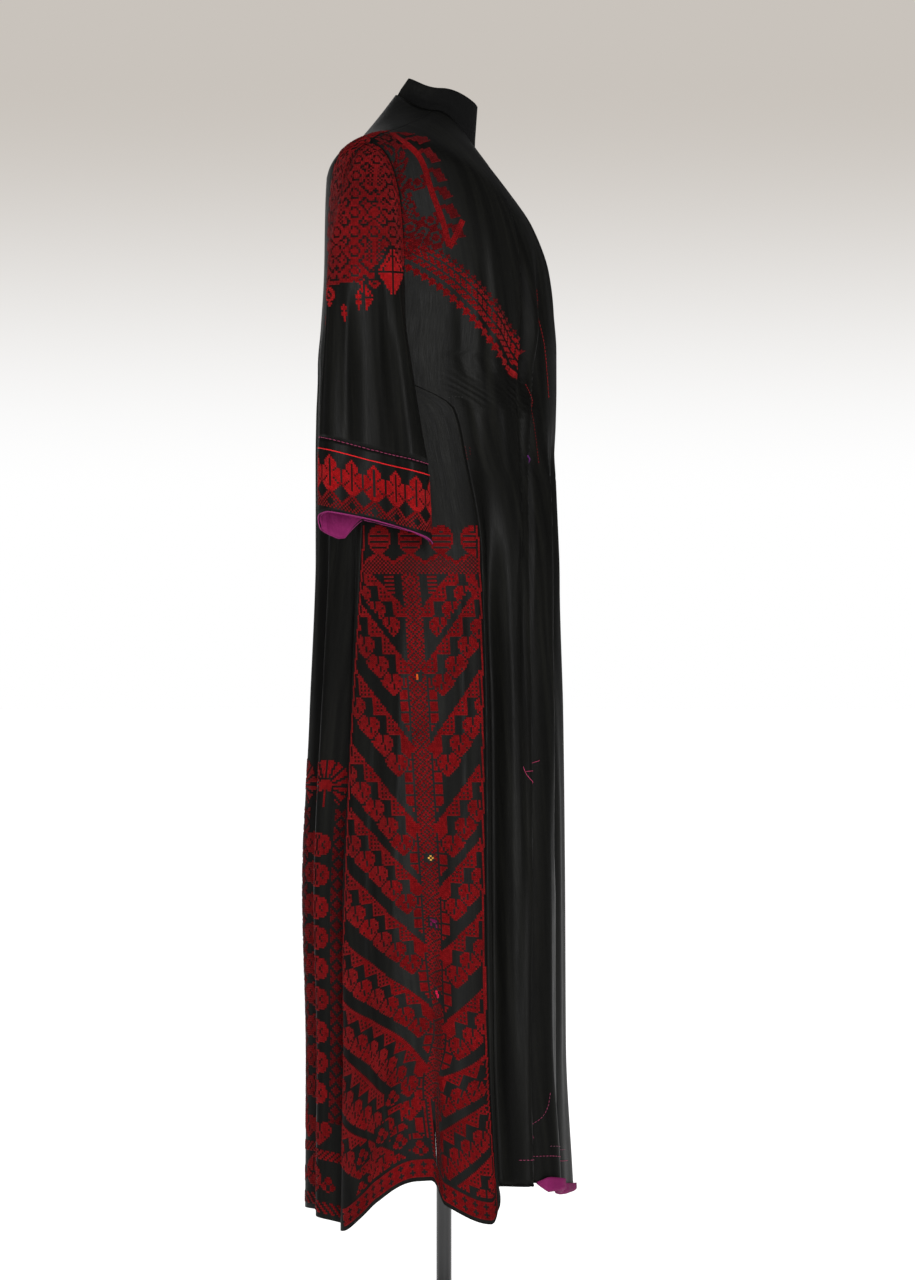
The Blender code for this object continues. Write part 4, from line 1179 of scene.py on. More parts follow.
def even_grid(surface, rows, first, last, spacing, middle=None):
    """A grid of a surface whose columns lie evenly along the cloth, with each point's flat measures."""
    start, end = (np.broadcast_to(f(rows), rows.shape) for f in (first, last))
    share = np.linspace(0, 1, 420)
    turns = start[:, None] + (end - start)[:, None] * share
    arcs = run_along(surface(turns, np.broadcast_to(rows[:, None], turns.shape)))
    columns = max(3, int(np.ceil(arcs[:, -1].max() / spacing)) + 1)
    placed = np.array([
        np.interp(np.linspace(0, arc[-1], columns), arc, turn) for arc, turn in zip(arcs, turns)
    ])
    placed[:, 0], placed[:, -1] = start, end
    across = arcs[:, -1:] * np.linspace(0, 1, columns)
    if middle:
        centre = np.broadcast_to(middle(rows), rows.shape)
        across = across - np.array([np.interp(c, t, a) for c, t, a in zip(centre, turns, arcs)])[:, None]
    flat = np.stack([across, np.broadcast_to(rows[:, None], across.shape)], -1)
    return surface(placed, np.broadcast_to(rows[:, None], placed.shape)), flat


def flat_size(parts):
    """The cut's width and length, and its area in square metres, from a sheet's flat measures."""
    wide = sum(np.ptp(flat[..., 0], axis=1).max() for _, flat in parts)
    long = max(np.ptp(flat[..., 1]) for _, flat in parts)
    area = 0
    for grid, _ in parts:
        a, b = grid[1:, 1:] - grid[:-1, :-1], grid[1:, :-1] - grid[:-1, 1:]
        area += np.linalg.norm(np.cross(a, b), axis=-1).sum() / 2
    return wide * MM, long * MM, area * 1e-6


def satin_sizes():
    """The satin's wall and how far apart its columns of faces lie, in millimetres."""
    values = bpy.context.scene.thobe
    return values.cloth_thickness / MM, values.column_spacing / MM


Sheet = namedtuple("Sheet", "made wide long area rests_on")
# The sheets of cloth and the pieces that are sewn to them, by the sheets' CAD nodes.
SHEETS = {}
SEWN = {}


def hang(name, cloth_name, parts, material, thickness, middle, rests_on):
    """Makes a sheet of cloth in place of its CAD node, and notes its flat size and what it hangs on."""
    made = cloth_sheet(name, parts, material, thickness, middle)
    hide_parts(cloth_name)
    wide, long, area = flat_size(parts)
    SHEETS[cloth_name] = Sheet(made, wide, max(long, area / wide), area, rests_on)
    return made


def sewn_on(made, cloth_name):
    """Has a piece of needlework ride with the cloth that it is sewn to."""
    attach(made, "root")
    SEWN.setdefault(cloth_name, []).append(made)


def dye(made, colours):
    """Gives each point of a piece of needlework its floss's colour."""
    attribute = made.data.color_attributes.new(name="floss", type="FLOAT_COLOR", domain="POINT")
    attribute.data.foreach_set("color", colours.astype(np.float32).ravel())


def sew(name, cloth_name, flat, chart_and_middle, top, edging=False, holds=None, seed=1):
    """Sews a chart on a flat panel: each stitch is a low mound of two crossed strands over its cell. With an
    edging, a line of red in a bare strip runs down both sides."""
    cloth, half = chart_and_middle
    cloth = cloth.copy()
    i, j = np.meshgrid(np.arange(cloth.shape[1]) - half, np.arange(cloth.shape[0]))
    across, down = i * STITCH, top + (j + 0.5) * STITCH
    if edging:
        low = np.interp(down, flat.downs, flat.low)
        high = np.interp(down, flat.downs, flat.high)
        inset = np.minimum(across - low, high - across) / STITCH
        cloth[inset < 2.6] = 0
        cloth[(inset > 0.9) & (inset < 2.0)] = RED
    keep = (cloth > 0) & flat.holds(across, down, 1.4) & (down < flat.downs[-1] - 3.5)
    if holds is not None:
        keep &= holds(across, down)
    sew_cells(name, cloth_name, flat.place, across[keep], down[keep], cloth[keep], seed)


def sew_cells(name, cloth_name, place, across, down, floss, seed):
    """Stitches over cells whose middles are given, on a surface that place() finds."""
    random = np.random.default_rng(seed)
    half = STITCH / 2 * STITCH_FILL
    rise = bpy.context.scene.thobe.stitch_height / MM
    corners = [
        place(across + half * a, down + half * b, np.full(across.shape, STITCH_LIFT))
        for a, b in ((-1, -1), (1, -1), (1, 1), (-1, 1))
    ]
    middle = place(across, down, rise * (0.85 + 0.3 * random.random(across.shape)))
    points = np.stack([*corners, middle], axis=1)
    base = np.arange(len(across))[:, None, None] * 5
    order = np.array([[0, 1, 4], [1, 2, 4], [2, 3, 4], [3, 0, 4]])
    up = np.cross(corners[1] - corners[0], corners[3] - corners[0])
    if np.sum(up * (middle - (corners[0] + corners[2]) / 2)) < 0:
        order = order[:, ::-1]
    faces = (base + order).reshape(-1, 3)
    made = new_object(name, points.reshape(-1, 3), faces, silk_floss(), smooth_shaded=False)
    cell = np.array([[0, 0], [1, 0], [1, 1], [0, 1], [0.5, 0.5]])
    layer = made.data.uv_layers.new(name="stitch")
    layer.data.foreach_set("uv", np.tile(cell[order.ravel()], (len(across), 1)).ravel())
    palette = np.array([(0, 0, 0)] + [hex_colour(FLOSSES[k]) for k in sorted(FLOSSES)])
    skein = 1 + 0.16 * np.sin(down / 41 + across / 23) * np.sin(down / 17 - across / 61)
    tone = np.clip(skein * random.normal(1.0, 0.14, across.shape), 0.5, 1.5)
    colours = palette[floss] * tone[:, None]
    colours = np.concatenate([colours, np.ones((len(colours), 1))], axis=1)
    dye(made, np.repeat(colours, 5, axis=0))
    sewn_on(made, cloth_name)


def gore_turns(drop):
    """The turns of a side panel's two seams and of the middle line of its embroidery."""
    start, end = front_seam(drop), back_seam(drop)
    reach = np.interp(drop, column(GORE_LINE, "drop"), column(GORE_LINE, "reach"))
    line = seam_angle(reach, drop)
    slit = start + SIDE_MIDDLE * (end - start)
    share = eased(drop, GORE_LINE[-2].drop, SIDE_SLIT_TOP - 30)
    return start, line * (1 - share) + slit * share, end


def gore_flat(hand):
    first, middle, last = (lambda drop, k=k: gore_turns(drop)[k] for k in range(3))
    return body_flat(hand, (GORE_TOP - 12, BODY_HEM), first, middle, last)


def back_surface(turn, down):
    return body_point(180 + turn, down)


def back_edge(drop):
    """How far from the centre back its seams lie, in degrees."""
    return 180 - back_seam(drop)


def back_flat():
    downs = (BACK_TOP - 12, BODY_HEM)
    return Flat(back_surface, downs, lambda drop: -back_edge(drop), steady(0), back_edge, 1)


class Levels:
    """A sleeve's rows that are level from its outer line, or rise evenly towards its back."""

    step = 3.0

    def __init__(self, hand, slope):
        self.hand = hand
        around = np.arange(-180, 181, self.step)
        drops = np.arange(0, SLEEVE_HEM + 0.5, 2.0)
        points = sleeve_point(hand, *np.meshgrid(around, drops, indexing="ij"))
        levels = points[..., 2] - slope * points[..., 1]
        self.level = levels[len(around) // 2]
        self.length = run_along(points[len(around) // 2])
        self.downs = np.arange(-60, self.length[-1] + 90, self.step)
        wanted = np.interp(self.downs, self.length, self.level)
        wanted = wanted - np.minimum(self.downs, 0) - np.maximum(self.downs - self.length[-1], 0)
        past = SLEEVE_HEM + 9
        self.table = np.array([np.interp(-wanted, -row, drops, left=-9, right=past) for row in levels]).T

    def drop(self, turn, down):
        return read_grid(self.table, (down - self.downs[0]) / self.step, (turn + 180) / self.step)

    def surface(self, turn, down):
        return sleeve_point(self.hand, turn, np.clip(self.drop(turn, down), 0, SLEEVE_HEM))

    def flat(self, downs):
        return Flat(self.surface, downs, steady(-180), steady(0), steady(180), -self.hand)

    def down_at_level(self, level):
        """The down measure of a level on the outer line."""
        return np.interp(-level, -self.level, self.length)


def path_on_body(hand, knots, spacing=1.0):
    """A smooth line on the body through knots of turn and drop, as turns and drops at even lengths."""
    found = np.array(knots, float)
    rough = body_point(hand * found[:, 0], found[:, 1])
    chord = run_along(rough)
    fine = np.linspace(0, chord[-1], 400)
    turn, drop = (smooth(fine, chord, found[:, k]) for k in (0, 1))
    arc = run_along(body_point(hand * turn, drop))
    even = np.arange(0, arc[-1], spacing)
    return even, np.interp(even, arc, turn), np.interp(even, arc, drop)


def beside(hand, path):
    """A place() for a strip along a path on the front: across is square to the path, towards the front, and
    down is along it."""
    even, path_turn, path_drop = path

    def place(across, down, lift=0.0):
        def there(u, v):
            return body_point(hand * u, v)

        turn, drop = np.interp(down, even, path_turn), np.interp(down, even, path_drop)
        by_turn = (there(turn + 0.05, drop) - there(turn - 0.05, drop)) / 0.1
        by_drop = (there(turn, drop + 0.4) - there(turn, drop - 0.4)) / 0.8
        normal = hand * np.cross(by_drop, by_turn)
        normal /= np.linalg.norm(normal, axis=-1, keepdims=True)
        ahead_turn = (np.interp(down + 1, even, path_turn) - np.interp(down - 1, even, path_turn)) / 2
        ahead_drop = (np.interp(down + 1, even, path_drop) - np.interp(down - 1, even, path_drop)) / 2
        ahead = by_turn * ahead_turn[..., None] + by_drop * ahead_drop[..., None]
        side = -np.cross(normal, ahead) * hand
        side /= np.linalg.norm(side, axis=-1, keepdims=True)
        pairs = ((by_turn, by_turn), (by_turn, by_drop), (by_drop, by_drop))
        e, f, g = (np.sum(a * b, axis=-1) for a, b in pairs)
        p, q = (across * np.sum(a * side, axis=-1) for a in (by_turn, by_drop))
        size = e * g - f * f
        turn = turn + (p * g - q * f) / size
        drop = drop + (q * e - p * f) / size
        normal = hand * direction_of(there, turn, drop)
        return there(turn, drop) + normal * np.asarray(lift)[..., None], turn, drop

    return place


def strand(points, radius, sides=5):
    """A thread's tube round a line of points, in millimetres."""
    points = np.asarray(points, float)
    along = np.gradient(points, axis=0)
    along /= np.linalg.norm(along, axis=1, keepdims=True)
    away = np.cross(along, [0.3, 0.2, 0.93])
    away /= np.linalg.norm(away, axis=1, keepdims=True)
    other = np.cross(along, away)
    turn = np.arange(sides) * 2 * math.pi / sides
    thick = radius * np.concatenate([[0.45], np.ones(len(points) - 2), [0.45]])
    ring = np.cos(turn)[:, None] * away[:, None] + np.sin(turn)[:, None] * other[:, None]
    tube = (points[:, None] + thick[:, None, None] * ring).reshape(-1, 3)
    faces = []
    for r in range(len(points) - 1):
        for c in range(sides):
            a, b = r * sides + c, r * sides + (c + 1) % sides
            faces += [(a, b, b + sides), (a, b + sides, a + sides)]
    last = (len(points) - 1) * sides
    for first, near, far in ((0, 1, 0), (last, 0, 1)):
        faces += [(first, first + c + near, first + c + far) for c in range(1, sides - 1)]
    return tube, np.array(faces)


def thread_piece(name, cloth_name, strands):
    """Threads as one piece: each has its points, radius and colour."""
    points, faces, colours, start = [], [], [], 0
    for line, radius, colour in strands:
        tube, tube_faces = strand(line, radius)
        points.append(tube)
        faces.append(tube_faces + start)
        colours.append(np.tile(paint(colour), (len(tube), 1)))
        start += len(tube)
    made = new_object(name, np.concatenate(points), np.concatenate(faces), silk_floss())
    dye(made, np.concatenate(colours))
    sewn_on(made, cloth_name)


def dashes(line, lifted, length=3.4, gap=1.5, radius=0.3, colour="#8d3a58"):
    """Running stitches along a line of points; lifted is the same line raised off the cloth."""
    arc = run_along(line)
    made = []
    for start in np.arange(0, arc[-1] - length, length + gap):
        at = start + np.array([0, 0.2, 0.5, 0.8, 1]) * length
        share = np.array([0, 0.7, 1, 0.7, 0])[:, None]
        low, high = (
            np.stack([np.interp(at, arc, points[:, k]) for k in range(3)], -1) for points in (line, lifted)
        )
        made.append((low + (high - low) * share, radius, colour))
    return made


class ThobeSettings(bpy.types.PropertyGroup):
    """What a user would change."""

    cloth_thickness: bpy.props.FloatProperty(
        name="Cloth thickness", description="How thick the satin's wall is", default=0.0012,
        min=0.0003, max=0.003, unit="LENGTH", precision=4,
    )
    column_spacing: bpy.props.FloatProperty(
        name="Column spacing", description="How far apart the cloth's columns of faces lie", default=0.0045,
        min=0.002, max=0.02, unit="LENGTH", precision=4,
    )
    stitch_height: bpy.props.FloatProperty(
        name="Stitch height", description="How far a cross stitch stands off the cloth", default=0.0008,
        min=0.0002, max=0.002, unit="LENGTH", precision=4,
    )
    satin_dark: bpy.props.FloatVectorProperty(
        name="Satin, dark", description="The satin's colour in its dark streaks",
        default=hex_colour("#0b0b0a"), subtype="COLOR", min=0, max=1,
    )
    # The colour of the satin's pale streaks: partly slubs in the warp, partly a painted sheen
    satin_slub_and_sheen: bpy.props.FloatVectorProperty(
        name="Satin, light", description="The satin's colour in its pale streaks",
        default=hex_colour("#1d1d1a"), subtype="COLOR", min=0, max=1,
    )
    facing_colour: bpy.props.FloatVectorProperty(
        name="Facing", description="The cotton that faces the cuffs and the hem",
        default=hex_colour("#641044"), subtype="COLOR", min=0, max=1,
    )


def front_point(turn, down, inside=0.0):
    """Points of the front's cloth, or of cloth this far inside it. Past the last drop its rows go on into the
    corner of the hem that hangs and is turned up on the wearer's right."""
    held = np.minimum(down, BODY_HEM)
    flat = body_point(turn, held)
    near = np.clip(held, 1, BODY_HEM - 0.5)
    normal = direction_of(body_point, turn, near)
    ahead = body_point(turn, near) - body_point(turn, near - 0.5)
    ahead = ahead / np.maximum(np.linalg.norm(ahead, axis=-1, keepdims=True), 1e-9)
    reach = -body_point(turn, np.full(np.shape(turn), BODY_HEM))[..., 1]
    size = np.interp(reach, (112, 124, 140, 158, 164), (0, 1, 0.8, 0.5, 0.35))
    size = size * eased(-turn, 1, 7) * (-turn < 60)
    length = np.clip(down - BODY_HEM, 0, 1) * size * (CORNER_LOW + math.pi * CORNER_ROLL + CORNER_FLAP)
    radius = CORNER_ROLL * size + 1e-6
    straight = np.minimum(length, CORNER_LOW * size)
    bend = np.clip((length - straight) / radius, 0, math.pi)
    rest = np.maximum(length - straight - math.pi * radius, 0)
    down_by = straight + (radius + inside) * np.sin(bend) - rest
    out_by = radius - (radius + inside) * np.cos(bend)
    out_by = np.where(bend > 0, out_by, -inside)
    return flat + ahead * down_by[..., None] + normal * out_by[..., None]


class THOBE_OT_body(bpy.types.Operator):
    """Hangs the front, the back and the two side panels as sheets of satin"""

    bl_idname = "thobe.body"
    bl_label = "Body panels"

    def execute(self, context):
        thick, spacing = satin_sizes()
        satin = black_satin()
        rows = rows_between(0, 30, 80, ARMHOLE_TOP, ARMHOLE_FOOT, 390, SLIT_END, BODY_HEM)
        front_rows = np.concatenate([rows, BODY_HEM + CORNER_ROWS])
        parts = []
        for hand in (-1, 1):
            def half_front(turn, down):
                return front_point(hand * turn, down)

            grid, flat = even_grid(half_front, front_rows, slit_angle, front_seam, spacing)
            flat[..., 0] *= hand
            down = flat[..., 1]
            flat[..., 1] = np.where(down > BODY_HEM, BODY_HEM + CORNER_SPAN * (down - BODY_HEM), down)
            parts.append((grid, flat))
        front = hang("satin_front", "front", parts, satin, thick, BODY_MIDDLE, ["dress_form"])
        parts = [even_grid(back_surface, rows, lambda drop: -back_edge(drop), back_edge, spacing, steady(0))]
        back = hang("satin_back", "back", parts, satin, thick, BODY_MIDDLE, ["dress_form"])
        rows = rows_between(377, 390, 440, SIDE_SLIT_TOP, BODY_HEM)
        for word, hand in HANDS:
            def side(turn, down):
                return body_point(hand * turn, down)

            share = np.clip((rows - SIDE_SLIT_TOP) / (rows[-1] - SIDE_SLIT_TOP), 0, 1)
            aside = np.degrees(SIDE_SLIT_GAPE * share / 2 / at_drop("width", rows))
            slit = front_seam(rows) + SIDE_MIDDLE * (back_seam(rows) - front_seam(rows))
            parts = [
                even_grid(side, rows, lambda drop: first, lambda drop: last, spacing)
                for first, last in ((front_seam(rows), slit - aside), (slit + aside, back_seam(rows)))
            ]
            parts[1][1][..., 0] += parts[0][1][..., -1:, 0]
            node_name = f"side_panel_{word}"
            hang(f"satin_side_{word}", node_name, parts, satin, thick, BODY_MIDDLE, [front, back])
        return {"FINISHED"}


class THOBE_OT_sleeves(bpy.types.Operator):
    """Hangs the two sleeves and their cuffs as tubes of satin"""

    bl_idname = "thobe.sleeves"
    bl_label = "Sleeves and cuffs"

    def execute(self, context):
        thick, spacing = satin_sizes()
        satin = black_satin()
        for word, hand in HANDS:
            def tube(turn, down):
                return tube_point(hand, turn, down)

            above = SHEETS["front"].made
            for kind, rows in (
                ("sleeve", rows_between(0, 14, 34, 130, CUFF_TOP, step=7)),
                ("cuff", rows_between(CUFF_TOP, SLEEVE_HEM, step=5)),
            ):
                parts = [even_grid(tube, rows, steady(-180), steady(180), spacing, steady(0))]
                above = hang(f"satin_{kind}_{word}", f"{kind}_{word}", parts, satin, thick, None, [above])
        return {"FINISHED"}


def inside_of(surface, facing, depth, end):
    """A surface this far inside another one, which goes on past the other's end."""
    def there(turn, down):
        held = np.clip(down, 0.5, end - 0.5)
        normal = facing * direction_of(surface, turn, held)
        ahead = surface(turn, held + 0.4) - surface(turn, held - 0.4)
        ahead = ahead / np.linalg.norm(ahead, axis=-1, keepdims=True)
        ripple = 0.9 + 0.9 * np.sin(turn / 6.0 + down / 5.0) * np.sin(turn / 9.1 - down / 8.0)
        inward = (depth + 0.4 + ripple)[..., None]
        return surface(turn, held) + ahead * (down - held)[..., None] - normal * inward

    return there


class THOBE_OT_facings(bpy.types.Operator):
    """Sews the coloured cotton inside the cuffs and the front's hem"""

    bl_idname = "thobe.facings"
    bl_label = "Facings"

    def execute(self, context):
        thick = satin_sizes()[0]
        cotton = facing_cotton()
        for word, hand in HANDS:
            inside = inside_of(lambda turn, down: tube_point(hand, turn, down), -hand, thick, SLEEVE_HEM)

            def raised(turn, down):
                return inside(turn, down - 15 * np.exp(-(((turn % 360 - 135) / 38) ** 2)))

            rows = rows_between(SLEEVE_HEM - 66, SLEEVE_HEM + 0.9, step=4)
            parts = [even_grid(raised, rows, steady(-180), steady(180), 4.0, steady(0))]
            name = f"cuff_facing_{word}"
            hang(f"cotton_{name}", name, parts, cotton, COTTON, None, [f"satin_cuff_{word}"])

        def inside_front(turn, down):
            return front_point(turn, down, thick + 0.35)

        def edge(drop):
            return front_seam(drop) - 1.5

        rows = np.concatenate([rows_between(BODY_HEM - 44, BODY_HEM, step=4), BODY_HEM + CORNER_ROWS])
        parts = [even_grid(inside_front, rows, lambda drop: -edge(drop), edge, 4.0, steady(0))]
        hang("cotton_hem_facing", "hem_facing", parts, cotton, COTTON, BODY_MIDDLE, ["satin_front"])
        return {"FINISHED"}


class THOBE_OT_side_embroidery(bpy.types.Operator):
    """Cross-stitches the two side panels"""

    bl_idname = "thobe.side_embroidery"
    bl_label = "Side embroidery"

    def execute(self, context):
        for word, hand in HANDS:
            name, cloth_name = f"stitches_side_{word}", f"side_panel_{word}"
            sew(name, cloth_name, gore_flat(hand), gore_chart(), GORE_TOP, edging=True, seed=11 + hand)
        return {"FINISHED"}


class THOBE_OT_back_embroidery(bpy.types.Operator):
    """Cross-stitches the lower panel of the back"""

    bl_idname = "thobe.back_embroidery"
    bl_label = "Back embroidery"

    def execute(self, context):
        sew("stitches_back", "back", back_flat(), back_chart(), BACK_TOP, seed=21)
        return {"FINISHED"}


class THOBE_OT_shoulder_embroidery(bpy.types.Operator):
    """Cross-stitches the back's cloth behind the heads of the sleeves"""

    bl_idname = "thobe.shoulder_embroidery"
    bl_label = "Shoulder embroidery"

    def execute(self, context):
        for word, hand in HANDS:
            flat = body_flat(hand, (80, 370), back_seam, back_seam, steady(172))
            sew(f"stitches_shoulder_{word}", "back", flat, shoulder_chart(), 98, seed=61 + hand)
        return {"FINISHED"}


class THOBE_OT_sleeve_embroidery(bpy.types.Operator):
    """Cross-stitches the heads of the sleeves and the cuffs"""

    bl_idname = "thobe.sleeve_embroidery"
    bl_label = "Sleeve embroidery"

    def execute(self, context):
        for word, hand in HANDS:
            level = Levels(hand, 0.0)
            flat = level.flat((0, 310))

            def on_cap(across, down):
                drop = level.drop(flat.turn(across, down), down)
                return (drop > 2.0) & (drop < STRAIGHT_TO)

            name = f"stitches_cap_{word}"
            sew(name, f"sleeve_{word}", flat, cap_chart(), 2.0, holds=on_cap, seed=31 + hand)
            tilted = Levels(hand, CUFF_SLOPE)
            top = tilted.down_at_level(CORD_LEVEL - 5)
            band = tilted.flat((top - 40, top + 100))

            def on_cuff(across, down):
                turn = band.turn(across, down)
                seam, hem = (np.interp(turn % 360, AROUND, table) for table in SLOPES[hand])
                drop = tilted.drop(turn, down)
                return (drop > seam + 4) & (drop < hem - 4)

            name = f"cuff_{word}"
            sew(f"stitches_{name}", name, band, cuff_chart(), top, holds=on_cuff, seed=41 + hand)
        return {"FINISHED"}


def strip_chart(count, kind):
    """What is sewn along a line on the chest: the band's leaves and bobbles, or the tab at the shoulder with
    its line, its outer row of leaves and the filling behind it."""
    i, j = np.meshgrid(np.arange(-30, 14), np.arange(count))
    if kind == "band":
        lean = np.where((i + 40) % 8 < 4, i, -i)
        cloth = np.where((np.abs(i) < 6) & ((j + lean) % 4 < 3) & ((i + 40) % 4 != 3), RED, 0)
        cloth[(np.abs(i + 8) + np.abs(j % 5 - 2) < 3) & (i != -6)] = RED
        cloth[(np.abs(i - 7) + np.abs(j % 4 - 2) < 2)] = DEEP
        return cloth, 30
    if kind == "end":
        return np.where(np.abs(i) <= 1, RED, 0), 30
    wedge = (i > -2 - np.clip((j - 14) * 0.6, 0, 8)) & (j > 13) & ((j < 32) | (j > 38)) & (j < 52)
    cloth = np.where((i < -1) & filling(i, j) & ~wedge, DEEP, 0)
    cloth[(i >= -1) & (i <= 1)] = RED
    leaf = j % 10
    cloth[(i >= 4) & (np.abs(i - 6.5 - (leaf - 4) * 0.35) < 2.6) & (leaf > 0) & (leaf < 8)] = DEEP
    cloth[(i >= 2) & (i <= 4) & (leaf < 2)] = DEEP
    return cloth, 30


class THOBE_OT_chest_embroidery(bpy.types.Operator):
    """Cross-stitches the tabs at the shoulders and the slanting bands across the chest"""

    bl_idname = "thobe.chest_embroidery"
    bl_label = "Chest embroidery"

    def execute(self, context):
        for word, hand in HANDS:
            for kind, knots in (("tab", TAB), ("end", TAB_END), ("band", BAND)):
                path = path_on_body(hand, knots)
                place = beside(hand, path)
                cloth, first = strip_chart(int(path[0][-1] / STITCH), kind)
                rows, columns = np.nonzero(cloth)
                across, down = (columns - first) * STITCH, (rows + 0.5) * STITCH
                _, turn, drop = place(across, down)
                keep = (turn < front_seam(drop) - 0.5) & (turn > slit_angle(drop) + 1)
                keep &= np.isfinite(turn) & (drop > 4)
                sew_cells(
                    f"stitches_{kind}_{word}", "front", lambda a, d, lift: place(a, d, lift)[0], across[keep],
                    down[keep], cloth[rows[keep], columns[keep]], 51 + hand,
                )
        return {"FINISHED"}


class THOBE_OT_threads(bpy.types.Operator):
    """Lays the running stitches, the cords round the cuffs and the whole threads on the front"""

    bl_idname = "thobe.threads"
    bl_label = "Threads"

    def execute(self, context):
        turns = np.arange(-180, 181, 1.5)
        for word, hand in HANDS:
            def sleeve(turn, down):
                return sleeve_point(hand, turn, down)

            strands = []
            for level, kind in ((SEAM_LEVEL, "seam"), (CORD_LEVEL, "cord")):
                drops = np.interp(turns % 360, AROUND, level_line(hand, level))
                line = sleeve(turns, drops)
                normal = -hand * direction_of(sleeve, turns, np.clip(drops, 1, SLEEVE_HEM - 1))
                if kind == "cord":
                    strands.append((line + normal * 0.5, 0.75, "#c01c20"))
                else:
                    # A paler magenta cord round the hem: a painted highlight along the hem's edge
                    hem = tube_point(hand, turns, 0 * turns + SLEEVE_HEM)
                    strands.append((hem, 0.7, "#7a2658"))
                    strands += dashes(line, line + normal * 0.5, 4.2, 1.2, 0.4)
            thread_piece(f"threads_sleeve_{word}", f"sleeve_{word}", strands)
        strands = []
        for kind in FRONT_LINES:
            def front(turn, down):
                return body_point(kind.hand * turn, down)

            _, turn, drop = path_on_body(kind.hand, kind.knots)
            line = front(turn, drop)
            normal = kind.hand * direction_of(front, turn, drop)
            if kind.stitch:
                strands += dashes(line, line + normal * 0.6, kind.stitch, kind.gap, kind.radius, kind.colour)
            else:
                strands.append((line + normal * kind.radius * 0.7, kind.radius, kind.colour))
        thread_piece("threads_front", "front", strands)
        return {"FINISHED"}


class THOBE_OT_form(bpy.types.Operator):
    """Makes the smooth limbless form that the dress hangs on"""

    bl_idname = "thobe.form"
    bl_label = "Dress form"

    def execute(self, context):
        count = 96
        angles = wrapped(np.arange(count) * 360 / count)
        fields = FormRing._fields[1:]

        def rings_of(table, steps):
            at = np.linspace(0, len(table) - 1, steps)
            read = {f: smooth(at, np.arange(len(table), dtype=float), column(table, f)) for f in fields}
            rows = ({f: np.full(count, read[f][k]) for f in fields} for k in range(steps))
            return [ring_point(angles, row)[0] for row in rows]

        rings = rings_of(TORSO, 41)
        for drop in (108, 94, 80, 68, 56, 45, 34, 25, 16, 8, 1):
            drops = np.full(count, float(drop))
            inward = direction_of(body_point, angles, drops) * (CLOTH + FORM_GAP)
            rings.append(body_point(angles, drops) - inward)
        neck = rings_of(NECK[:2], 7)
        rings += [rings[-1] + (neck[0] - rings[-1]) * share for share in (0.25, 0.5, 0.75)]
        rings += neck
        rim = rings_of(NECK[2:] * 2, 2)[0]
        centre = rim.mean(axis=0)
        rings += [rim, *(centre + (rim - centre) * share for share in (0.97, 0.8, 0.5, 0.2))]
        points = np.concatenate(rings)
        faces = []
        for r in range(len(rings) - 1):
            here = r * count + np.arange(count)
            after = r * count + (np.arange(count) + 1) % count
            faces.append(np.stack([here, after, after + count, here + count], -1))
        made = new_object("jersey_form", points, np.concatenate(faces), form_jersey())
        work = bmesh.new()
        work.from_mesh(made.data)
        work.verts.ensure_lookup_table()
        work.faces.new([work.verts[k] for k in range(count)][::-1])
        work.faces.new([work.verts[len(points) - count + k] for k in range(count)])
        bmesh.ops.recalc_face_normals(work, faces=work.faces)
        work.to_mesh(made.data)
        work.free()
        smoothed(made, 40)
        finish_piece(made)
        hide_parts("dress_form")
        return {"FINISHED"}


def turned_piece(name, radius, low, high, width):
    """A round piece of the stand from a cylinder with eased edges."""
    bpy.ops.object.select_all(action="DESELECT")
    bpy.ops.mesh.primitive_cylinder_add(
        vertices=96, radius=radius * MM, depth=(high - low) * MM, location=(0, 0, (high + low) / 2 * MM)
    )
    made = bpy.context.active_object
    made.name = name
    made.data.materials.append(stand_enamel())
    bpy.ops.object.transform_apply(location=True, rotation=True, scale=True)
    ease = made.modifiers.new("eased edges", "BEVEL")
    ease.width = width * MM
    ease.segments = 3
    ease.limit_method = "ANGLE"
    return made


class THOBE_OT_stand(bpy.types.Operator):
    """Models the stand's base and pole"""

    bl_idname = "thobe.stand"
    bl_label = "Stand"

    def execute(self, context):
        boss_top = BASE_THICK + BOSS_HEIGHT
        low, high = boss_top + PIECE_GAP, TORSO[0].z_side - PIECE_GAP
        pole = turned_piece("enamel_pole", POLE_RADIUS, low, high, 0.8)
        finish_piece(pole)
        smoothed(pole, 35)
        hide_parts("stand_pole")
        base = turned_piece("enamel_base", BASE_RADIUS, 0.0, BASE_THICK, 1.6)
        bpy.ops.object.mode_set(mode="EDIT")
        work = bmesh.from_edit_mesh(base.data)
        for face in work.faces:
            face.select_set(face.normal.z > 0.9)
        bmesh.update_edit_mesh(base.data)
        bpy.ops.mesh.inset(thickness=(BASE_RADIUS - BOSS_RADIUS - 5) * MM)
        bpy.ops.mesh.inset(thickness=5 * MM, depth=4 * MM)
        bpy.ops.mesh.extrude_region_move(TRANSFORM_OT_translate={"value": (0, 0, (BOSS_HEIGHT - 7) * MM)})
        bpy.ops.mesh.inset(thickness=3 * MM, depth=3 * MM)
        bpy.ops.object.mode_set(mode="OBJECT")
        finish_piece(base)
        smoothed(base, 35)
        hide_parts("stand_base")
        return {"FINISHED"}


Softbox = namedtuple("Softbox", "name place size power")
# Places and sizes are in metres, and all three look at the middle of the dress.
SOFTBOXES = (
    Softbox("key_softbox", (-4.4, -1.0, 1.5), (1.2, 1.6), 135),
    Softbox("fill_softbox", (-3.2, 2.8, 1.6), (1.0, 2.4), 20),
    Softbox("far_softbox", (3.4, 0.4, 1.6), (1.6, 2.4), 9),
)
LIT_MIDDLE = (0, 0, 0.9)
FLOOR_RADIUS = 45.0
CAMERA_PLACE = (-5.0, -0.0169, 0.87)
FOCAL_LENGTH = 112.5
SENSOR_WIDTH = 36.0


